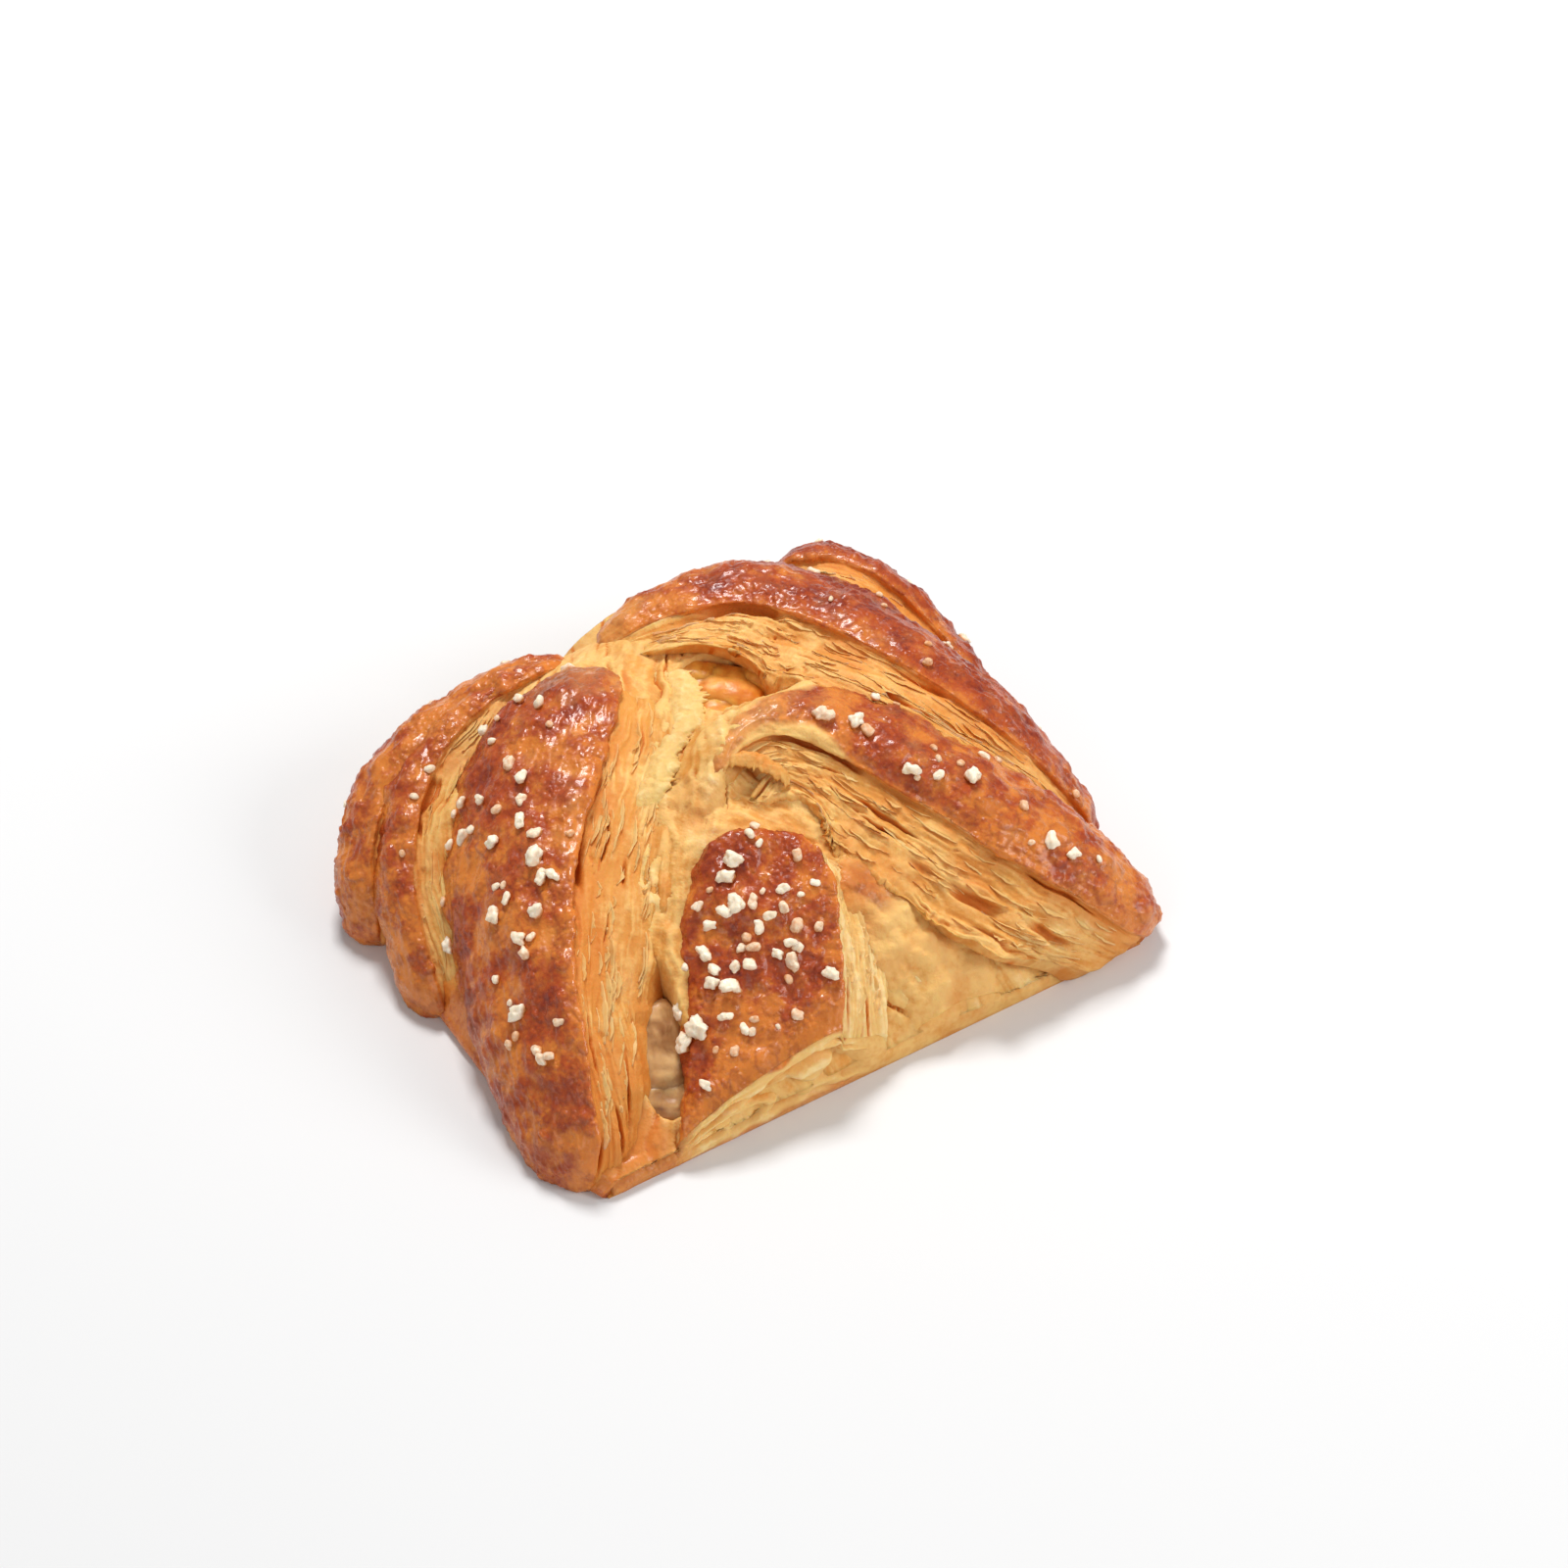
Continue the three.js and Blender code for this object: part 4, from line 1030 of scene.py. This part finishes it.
sugar = {                               # nibs of pearl sugar
    "rows": 13, "columns": 20, "squareness": 0.85,
    "seen": {                           # x and y in the photograph's pixels, length in mm, glaze over it
        "tongue_front": [
            (748, 879, 3.0, 0), (740, 895, 2.9, 0.1), (770, 845, 1.9, 0.4), (764, 852, 1.9, 0.2),
            (776, 861, 1.4, 0.1), (813, 873, 2.2, 0.6), (831, 901, 1.6, 0), (799, 907, 2.0, 0.1),
            (817, 912, 1.2, 0.3), (778, 909, 1.3, 0.4), (712, 924, 1.9, 0.3), (724, 907, 1.3, 0.7),
            (752, 922, 3.0, 0), (769, 922, 2.4, 0.4), (740, 930, 2.5, 0.1), (786, 936, 2.0, 0.2),
            (799, 925, 2.2, 0.4), (725, 945, 2.4, 0), (774, 945, 2.2, 0.2), (814, 945, 2.2, 0.6),
            (836, 945, 1.9, 0.6), (761, 956, 1.6, 0.7), (756, 967, 2.0, 0.3), (768, 966, 2.2, 0.6),
            (751, 987, 2.0, 0.3), (763, 984, 2.2, 0.2), (793, 974, 2.3, 0.1), (808, 962, 2.0, 0.2),
            (814, 967, 1.9, 0.3), (808, 981, 3.1, 0.4), (719, 974, 2.4, 0), (700, 986, 1.8, 0.2),
            (730, 991, 2.4, 0), (726, 1003, 2.4, 0.1), (745, 1007, 2.9, 0), (847, 993, 2.6, 0.2),
            (697, 1014, 1.6, 0.1), (690, 1030, 2.0, 0), (697, 1033, 2.6, 0), (713, 1050, 3.8, 0),
            (699, 1064, 2.9, 0), (741, 1037, 2.0, 0.2), (769, 1041, 1.6, 0.7), (761, 1050, 2.0, 0.2),
            (768, 1053, 1.5, 0.4), (814, 1035, 2.2, 0.5), (794, 1048, 1.0, 0.4), (749, 1072, 1.8, 0.7),
            (730, 1072, 1.3, 0.8), (720, 1107, 2.3, 0.1), (805, 1000, 1.5, 0.8),
        ],
        "strip_long_left": [
            (551, 718, 2.4, 0.2), (488, 741, 2.3, 0.2), (508, 735, 1.2, 0.6), (503, 758, 1.5, 0.2),
            (561, 739, 1.4, 0.6), (520, 778, 2.6, 0.5), (533, 795, 2.5, 0), (531, 817, 2.0, 0.4),
            (532, 838, 2.5, 0), (544, 851, 2.6, 0.3), (546, 876, 3.5, 0.1), (564, 893, 2.4, 0),
            (553, 897, 2.4, 0.2), (473, 820, 1.9, 0.3), (465, 831, 1.8, 0.2), (490, 817, 2.1, 0.2),
            (507, 826, 1.9, 0.6), (473, 855, 2.7, 0.2), (462, 863, 2.0, 0.2), (482, 847, 1.6, 0.3),
            (505, 860, 2.3, 0), (506, 904, 1.5, 0.3), (514, 902, 1.4, 0.5), (518, 920, 2.1, 0.2),
            (505, 936, 2.6, 0.2), (547, 930, 2.6, 0), (532, 959, 2.5, 0.2), (543, 957, 1.8, 0.4),
            (535, 972, 2.0, 0.5), (453, 966, 2.9, 0), (508, 1000, 1.5, 0.2), (522, 1024, 1.2, 0.3),
            (528, 1033, 3.0, 0.1), (571, 1044, 2.0, 0.5), (527, 1056, 1.6, 0.7), (519, 1066, 1.7, 0.6),
            (549, 1072, 2.3, 0.5), (553, 1080, 2.0, 0.4), (561, 1078, 1.8, 0.5), (582, 850, 1.5, 0.8),
            (453, 920, 1.6, 0.6),
        ],
        "strip_narrow_left": [
            (437, 786, 1.8, 0.2), (424, 812, 1.6, 0.4), (410, 870, 1.4, 0.7),
        ],
        "strip_front_right": [
            (891, 708, 2.1, 0), (839, 730, 3.2, 0.4), (874, 737, 2.5, 0.1), (885, 746, 2.3, 0.7),
            (916, 715, 1.6, 0.8), (929, 787, 2.7, 0), (938, 793, 1.3, 0.5), (958, 792, 1.9, 0),
            (958, 775, 1.3, 0.6), (980, 779, 1.5, 0.7), (991, 792, 2.5, 0), (1004, 773, 2.0, 0.3),
            (1021, 774, 1.6, 0.7), (1045, 822, 2.0, 0.7), (1052, 858, 1.3, 0.6), (1071, 859, 2.6, 0.1),
            (1094, 871, 2.3, 0), (1121, 876, 1.3, 0.1), (953, 763, 1.3, 0.7),
        ],
        "strip_back_right": [
            (848, 612, 1.1, 0.4), (901, 593, 1.4, 0.6), (902, 618, 1.2, 0.7), (971, 652, 1.3, 0.3),
            (945, 676, 1.9, 0.7), (1097, 810, 1.6, 0.7), (947, 658, 1.4, 0.8),
        ],
    },
    "unseen": {                         # x and y in mm of a few on the sides that the photograph doesn't show
        "strip_back_right": [(36, 39), (44, 30), (51, 17), (30, 44), (57, -2)],
        "lobe_back_right": [(44, 49), (55, 36), (58, 24)],
        "lobe_back_left": [(-32, 53), (-52, 47), (-18, 52)],
        "strip_long_left": [(-12, 42), (-24, 36)],
    },
    "unseenLength": (1.2, 2.6),
}


def nibMesh(random, foot, up, long, glazed):    # one nib: points and how far it is glazed, 0 to 1
    u, v = ballAngles(sugar["rows"], sugar["columns"], 0.12)
    ball = np.stack([np.cos(u) * np.sin(v), np.sin(u) * np.sin(v), np.cos(v) + 0 * u], -1)
    stretch = np.array([1.0, random.uniform(0.62, 0.9), random.uniform(0.6, 0.8)])
    turn = random.uniform(0, 2 * math.pi)
    sideways = unit(np.cross(up, [math.cos(turn), math.sin(turn), 0.2]))
    forward = np.cross(up, sideways)
    local = power(ball, sugar["squareness"]) * stretch * long / 2
    offset = random.uniform(-50, 50, 3)
    rough = 0.6 * noise(local + offset, 1.3, 31) + 0.25 * noise(local + offset, 0.6, 32)
    local = local * (1 + np.clip(rough, -0.4, 0.5)[..., None] * (1 - 0.5 * glazed))
    sunk = 0.12 + 0.5 * glazed + random.uniform(0, 0.15)
    grid = (foot + local[..., :1] * forward + local[..., 1:2] * sideways
            + (local[..., 2:] + long / 2 * stretch[2] * (0.75 - sunk)) * up)
    low = 1 - ramp(local[..., 2] / (long / 2), -0.4, 0.15)
    return grid, np.clip(0.1 + 0.75 * glazed + 0.8 * low, 0, 1).ravel()


def makeSugar():
    random = np.random.default_rng(8)
    back = cameraFrame()[2]
    nibs = []
    for name, seen in sugar["seen"].items():        # each is dropped onto the crust that its pixel shows
        swept = shaped[name]
        facing = (swept["normals"] @ back > 0.15) & (swept["crust"] > 0.5)
        surface, outward = swept["grid"][facing], unit(swept["normals"][facing])
        tree = KDTree(len(surface))
        for n, (x, y) in enumerate(toPicture(surface)):
            tree.insert((x, y, 0), n)
        tree.balance()
        for x, y, long, glazed in seen:
            index = tree.find((x, y, 0))[1]
            nibs.append(nibMesh(random, surface[index], outward[index], long, glazed))
    for name, spots in sugar["unseen"].items():
        swept = shaped[name]
        top = (swept["normals"][..., 2] > 0.15) & (swept["crust"] > 0.6)
        surface, outward = swept["grid"][top], unit(swept["normals"][top])
        for x, y in spots:
            index = int(np.argmin(np.hypot(surface[:, 0] - x, surface[:, 1] - y)))
            long, glazed = random.uniform(*sugar["unseenLength"]), random.uniform(0, 0.6)
            nibs.append(nibMesh(random, surface[index], outward[index], long, glazed))
    grids, glazes = zip(*nibs)
    points, faces = joinRings(grids, turned=True)
    return addMesh("pearl_sugar", points, faces, None, {"glaze": np.concatenate(glazes)})


nibs = makeSugar()
print("pearl sugar", len(nibs.data.polygons))


def linear(red, green, blue):           # a colour as it is seen, 0 to 255, to Blender's own scale
    values = []
    for value in (red, green, blue):
        value = value / 255
        values.append(value / 12.92 if value <= 0.04045 else ((value + 0.055) / 1.055) ** 2.4)
    return (*values, 1.0)


def connect(tree, value, socket):       # a number or a colour is set on the socket, anything else is linked
    if isinstance(value, (int, float, tuple)):
        socket.default_value = value
    else:
        tree.links.new(value, socket)


def addNode(tree, kind, **settings):
    node = tree.nodes.new(kind)
    for key, value in settings.items():
        if key in node.inputs:
            node.inputs[key].default_value = value
        else:
            setattr(node, key, value)
    return node


def addMath(tree, operation, first, second):
    node = addNode(tree, "ShaderNodeMath", operation=operation)
    connect(tree, first, node.inputs[0])
    connect(tree, second, node.inputs[1])
    return node.outputs[0]


def addVaried(tree, value, pattern, amount):    # a value that a noise pattern raises and lowers
    swing = addMath(tree, "MULTIPLY", addMath(tree, "SUBTRACT", pattern, 0.5), amount)
    return addMath(tree, "ADD", value, swing)


def addSum(tree, *parts):               # the sum of several values, each with its weight
    total = None
    for value, weight in parts:
        part = addMath(tree, "MULTIPLY", value, weight)
        total = addMath(tree, "ADD", total, part) if total else part
    return total


def addBlend(tree, mask, first, second):    # the first value where the mask is 0, the second where it is 1
    rest = addMath(tree, "MULTIPLY", addMath(tree, "SUBTRACT", 1.0, mask), first)
    return addMath(tree, "ADD", rest, addMath(tree, "MULTIPLY", mask, second))


def addMix(tree, factor, first, second):    # the same with colours
    node = addNode(tree, "ShaderNodeMix", data_type="RGBA")
    connect(tree, factor, node.inputs[0])
    connect(tree, first, node.inputs[6])
    connect(tree, second, node.inputs[7])
    return node.outputs[2]


def addRange(tree, value, low, high, toLow=0.0, toHigh=1.0):
    node = addNode(tree, "ShaderNodeMapRange", interpolation_type="SMOOTHSTEP")
    for socket, setting in zip(node.inputs[1:5], (low, high, toLow, toHigh)):
        socket.default_value = setting
    tree.links.new(value, node.inputs[0])
    return node.outputs[0]


def addNoise(tree, place, scale, detail=3.0):
    node = addNode(tree, "ShaderNodeTexNoise", Scale=scale, Detail=detail, Roughness=0.55)
    tree.links.new(place, node.inputs["Vector"])
    return node.outputs["Fac"]


def addPlace(tree):
    return addNode(tree, "ShaderNodeTexCoord").outputs["Object"]


def addField(tree, name):
    return addNode(tree, "ShaderNodeAttribute", attribute_name=name).outputs["Fac"]


def addGroup(tree, group, values):
    node = addNode(tree, "ShaderNodeGroup", node_tree=group)
    for label, value in values.items():
        connect(tree, value, node.inputs[label])
    return node.outputs


def addBump(tree, shader, height, strength, distance):
    bump = addNode(tree, "ShaderNodeBump", Strength=strength, Distance=distance)
    tree.links.new(height, bump.inputs["Height"])
    tree.links.new(bump.outputs["Normal"], shader.inputs["Normal"])


def newGroup(name, numbers, colors, outputs):   # a node group, its inputs' outputs and its output's inputs
    group = bpy.data.node_groups.new(name, "ShaderNodeTree")
    for kind, sockets in (("NodeSocketFloat", numbers), ("NodeSocketColor", colors)):
        for label, value in sockets.items():
            group.interface.new_socket(label, in_out="INPUT", socket_type=kind).default_value = value
    for label in outputs:
        kind = "NodeSocketColor" if label == "Color" else "NodeSocketFloat"
        group.interface.new_socket(label, in_out="OUTPUT", socket_type=kind)
    return group, group.nodes.new("NodeGroupInput").outputs, group.nodes.new("NodeGroupOutput").inputs


def makeCrustGroup():                   # egg-washed crust: amber to red-brown, dark round the blisters
    group, given, out = newGroup("Baked Crust", {"Brown": 0.5, "Blister": 0.0}, {
        "Amber": linear(216, 126, 48), "Red Brown": linear(176, 74, 26), "Dark": linear(124, 36, 18),
    }, ("Color", "Roughness", "Height"))
    place = addPlace(group)
    broad = addNoise(group, place, 260, 4)
    fine = addNoise(group, place, 1100, 3)
    specks = addNoise(group, place, 2600, 2)
    brown = addVaried(group, addVaried(group, given["Brown"], broad, 1.1), fine, 0.9)
    color = addMix(group, addRange(group, brown, 0.1, 0.8), given["Amber"], given["Red Brown"])
    color = addMix(group, addRange(group, brown, 0.7, 1.3), color, given["Dark"])
    ringed = addMath(group, "MULTIPLY", addRange(group, given["Blister"], 0.02, 0.3),
                     addRange(group, given["Blister"], 0.3, 0.9, 1.0, 0.0))
    color = addMix(group, addMath(group, "MULTIPLY", ringed, 0.35), color, given["Dark"])
    speckled = addMath(group, "MULTIPLY", addRange(group, specks, 0.6, 0.75), 0.35)
    color = addMix(group, speckled, color, given["Amber"])
    pimples = addNode(group, "ShaderNodeTexVoronoi", Scale=900.0)
    group.links.new(place, pimples.inputs["Vector"])
    domes = addRange(group, pimples.outputs["Distance"], 0.1, 0.6, 1, 0)
    group.links.new(color, out["Color"])
    group.links.new(addRange(group, fine, 0.3, 0.7, 0.24, 0.46), out["Roughness"])
    group.links.new(addSum(group, (domes, 0.6), (fine, 0.6), (specks, 0.2)), out["Height"])
    return group


def makeLayerGroup():                   # cut dough: cream where a sheet stands out, a painted highlight; orange down in the gaps and deep brown in the deepest, painted shade; orange too where it is toasted
    group, given, out = newGroup("Layered Dough", {"Gap Shade": 0.0, "Lift": 0.5, "Toast": 0.0}, {
        "Cream": linear(238, 190, 114), "Golden": linear(222, 154, 72), "Orange": linear(212, 118, 34),
        "Deep Shade": linear(170, 74, 14), "Pale": linear(249, 214, 150),
    }, ("Color", "Height"))
    place = addPlace(group)
    broad = addNoise(group, place, 120, 3)
    grain = addNoise(group, place, 900, 4)
    crumb = addNoise(group, place, 2400, 3)
    lift = addVaried(group, given["Lift"], grain, 0.9)
    toast = addVaried(group, given["Toast"], broad, 1.4)
    # paler with the paleness value: partly the dough's own paler tone, partly a painted highlight on what
    # stands out
    color = addMix(group, addRange(group, lift, 0.15, 0.8), given["Golden"], given["Cream"])
    color = addMix(group, addRange(group, lift, 0.85, 1.4), color, given["Pale"])
    color = addMix(group, addRange(group, toast, 0.1, 1.1, 0.0, 0.75), color, given["Orange"])
    # painted shade: the gaps are coloured orange, the deepest ones deep brown
    color = addMix(group, addRange(group, given["Gap Shade"], 0.1, 0.6), color, given["Orange"])
    color = addMix(group, addRange(group, given["Gap Shade"], 0.6, 1.0, 0.0, 0.7), color, given["Deep Shade"])
    group.links.new(color, out["Color"])
    group.links.new(addSum(group, (grain, 0.8), (crumb, 0.5)), out["Height"])
    return group


def makeGrainGroup():                   # fine uneven grain for the filling and the sugar
    group, given, out = newGroup("Soft Grain", {"Scale": 500.0, "Mask": 0.5}, {
        "Light": (1, 1, 1, 1), "Shade": (0.5, 0.5, 0.5, 1),
    }, ("Color", "Roughness", "Height"))
    node = addNode(group, "ShaderNodeTexNoise", Detail=4.0)
    group.links.new(addPlace(group), node.inputs["Vector"])
    group.links.new(given["Scale"], node.inputs["Scale"])
    grain = node.outputs["Fac"]
    shaded = addRange(group, addVaried(group, given["Mask"], grain, 0.8), 0.1, 0.95)
    group.links.new(addMix(group, shaded, given["Light"], given["Shade"]), out["Color"])
    group.links.new(addRange(group, grain, 0.3, 0.7), out["Roughness"])
    group.links.new(grain, out["Height"])
    return group


crustGroup, layerGroup, grainGroup = makeCrustGroup(), makeLayerGroup(), makeGrainGroup()


def newMaterial(name, finish):
    material = bpy.data.materials.new(name)
    material.use_nodes = True
    tree = material.node_tree
    shader = tree.nodes["Principled BSDF"]
    for label, value in finish.items():
        shader.inputs[label].default_value = value
    return material, tree, shader


def makeDoughMaterial():                # glossy crust over matt layers
    material, tree, shader = newMaterial("bakedDough", {
        "Subsurface Weight": 0.25, "Subsurface Radius": (0.0028, 0.0012, 0.0004), "Subsurface Scale": 1.0,
        "Specular IOR Level": 0.28, "Coat Roughness": 0.12, "Coat IOR": 1.5,
    })
    mask, brown, blister, gap, lift, toast = (addField(tree, field) for field in doughFields)
    crust = addGroup(tree, crustGroup, {"Brown": brown, "Blister": blister})
    layers = addGroup(tree, layerGroup, {"Gap Shade": gap, "Lift": lift, "Toast": toast})
    tree.links.new(addMix(tree, mask, layers["Color"], crust["Color"]), shader.inputs["Base Color"])
    tree.links.new(addBlend(tree, mask, 0.62, crust["Roughness"]), shader.inputs["Roughness"])
    tree.links.new(addMath(tree, "MULTIPLY", mask, 0.32), shader.inputs["Coat Weight"])
    addBump(tree, shader, addBlend(tree, mask, layers["Height"], crust["Height"]), 0.6, 0.00035)
    return material


def makeFlakeMaterial():
    material, tree, shader = newMaterial("flakeDough", {
        "Subsurface Weight": 0.25, "Subsurface Radius": (0.002, 0.001, 0.0005), "Subsurface Scale": 1.0,
        "Specular IOR Level": 0.25, "Roughness": 0.55,
    })
    lift, toast = addField(tree, "lift"), addField(tree, "toast")
    layers = addGroup(tree, layerGroup, {"Gap Shade": 0.0, "Lift": lift, "Toast": toast})
    tree.links.new(layers["Color"], shader.inputs["Base Color"])
    addBump(tree, shader, layers["Height"], 0.4, 0.0002)
    return material


def makeSugarMaterial():
    material, tree, shader = newMaterial("pearlSugar", {
        "Subsurface Weight": 0.35, "Subsurface Radius": (0.0012, 0.001, 0.0007), "Subsurface Scale": 1.0,
    })
    mask = addField(tree, "glaze")
    grain = addGroup(tree, grainGroup, {
        "Scale": 1500.0, "Mask": mask, "Light": linear(254, 236, 210), "Shade": linear(214, 140, 72),
    })
    tree.links.new(grain["Color"], shader.inputs["Base Color"])
    tree.links.new(addRange(tree, grain["Roughness"], 0, 1, 0.28, 0.5), shader.inputs["Roughness"])
    addBump(tree, shader, grain["Height"], 0.5, 0.0003)
    return material


def makeAppleMaterial():                # amber in the back opening, greyer in the front one
    material, tree, shader = newMaterial("glazedApple", {
        "Subsurface Weight": 0.4, "Subsurface Radius": (0.003, 0.002, 0.001), "Subsurface Scale": 1.0,
        "Coat Weight": 0.15, "Coat Roughness": 0.3, "Specular IOR Level": 0.25,
    })
    mask = addField(tree, "gap")
    amber = addGroup(tree, grainGroup, {
        "Scale": 420.0, "Mask": mask, "Light": linear(242, 168, 72), "Shade": linear(204, 108, 14),
    })
    grey = addGroup(tree, grainGroup, {
        "Scale": 300.0, "Mask": mask, "Light": linear(212, 166, 110), "Shade": linear(146, 92, 46),
    })
    color = addMix(tree, addField(tree, "pale"), amber["Color"], grey["Color"])
    tree.links.new(color, shader.inputs["Base Color"])
    tree.links.new(addRange(tree, amber["Roughness"], 0, 1, 0.3, 0.5), shader.inputs["Roughness"])
    addBump(tree, shader, amber["Height"], 0.45, 0.0006)
    return material


doughMaterial, flakeMaterial = makeDoughMaterial(), makeFlakeMaterial()
sugarMaterial, appleMaterial = makeSugarMaterial(), makeAppleMaterial()
print("materials", len(bpy.data.materials))

for piece in piecesMade:
    material, slot, node = doughMaterial, "baked_dough", "dough"
    if piece is flakes:
        material = flakeMaterial
    elif piece is nibs:
        material = sugarMaterial
    elif piece in (jelly, apple):
        material, slot, node = appleMaterial, "apple", "apple_filling"
    piece.data.materials.append(material)
    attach(piece, "root")
    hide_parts(node)
print("pieces", len(piecesMade))


studio = {
    "world": 0.33, "floorSize": 6.0, "lookAt": (0, 0, 0.015),
    "lamps": [                          # place, size and power, in metres and watts
        ((0.14, 0.36, 0.74), 0.22, 5.6),
        ((0.50, -0.55, 0.50), 0.4, 3.2),
        ((-0.60, -0.40, 0.40), 0.4, 0.9),
    ],
}


def addThing(name, data):
    thing = bpy.data.objects.new(name, data)
    bpy.context.collection.objects.link(thing)
    return thing


def placed(right, up, back, place):     # the matrix of a lamp or camera, from its axes and its place
    return Matrix([[right[k], up[k], back[k], place[k]] for k in range(3)] + [[0, 0, 0, 1]])


def makeFloor():
    far = studio["floorSize"]
    corners = [(-far, -far, 0), (far, -far, 0), (far, far, 0), (-far, far, 0)]
    mesh = bpy.data.meshes.new("floor")
    mesh.from_pydata(corners, [], [(0, 1, 2, 3)])
    material, tree, shader = newMaterial("paleFloor", {"Roughness": 0.9})
    color = addMix(tree, addNoise(tree, addPlace(tree), 3.0), linear(227, 227, 227), linear(231, 231, 231))
    tree.links.new(color, shader.inputs["Base Color"])
    mesh.materials.append(material)
    addThing("floor", mesh)


def makeLight():
    world = bpy.data.worlds.new("studio")
    bpy.context.scene.world = world
    world.use_nodes = True
    background = world.node_tree.nodes["Background"]
    background.inputs["Color"].default_value = (1, 1, 1, 1)
    background.inputs["Strength"].default_value = studio["world"]
    for n, (place, size, power) in enumerate(studio["lamps"]):
        light = bpy.data.lights.new(f"lamp{n}", "AREA")
        light.energy, light.size = power, size
        back = unit(np.array(place) - np.array(studio["lookAt"]))
        right = unit(np.cross([0, 0, 1], back))
        addThing(f"lamp{n}", light).matrix_world = placed(right, np.cross(back, right), back, place)
    bpy.context.scene.view_settings.view_transform = "Standard"


def makeCamera():
    right, up, back, place, focal = cameraFrame()
    data = bpy.data.cameras.new("camera")
    data.lens, data.sensor_width = view["lens"], view["sensor"]
    camera = addThing("camera", data)
    camera.matrix_world = placed(right, up, back, (place + toFrame) / 1000)
    bpy.context.scene.camera = camera


makeFloor()
makeLight()
makeCamera()
print("lamps", len(studio["lamps"]))
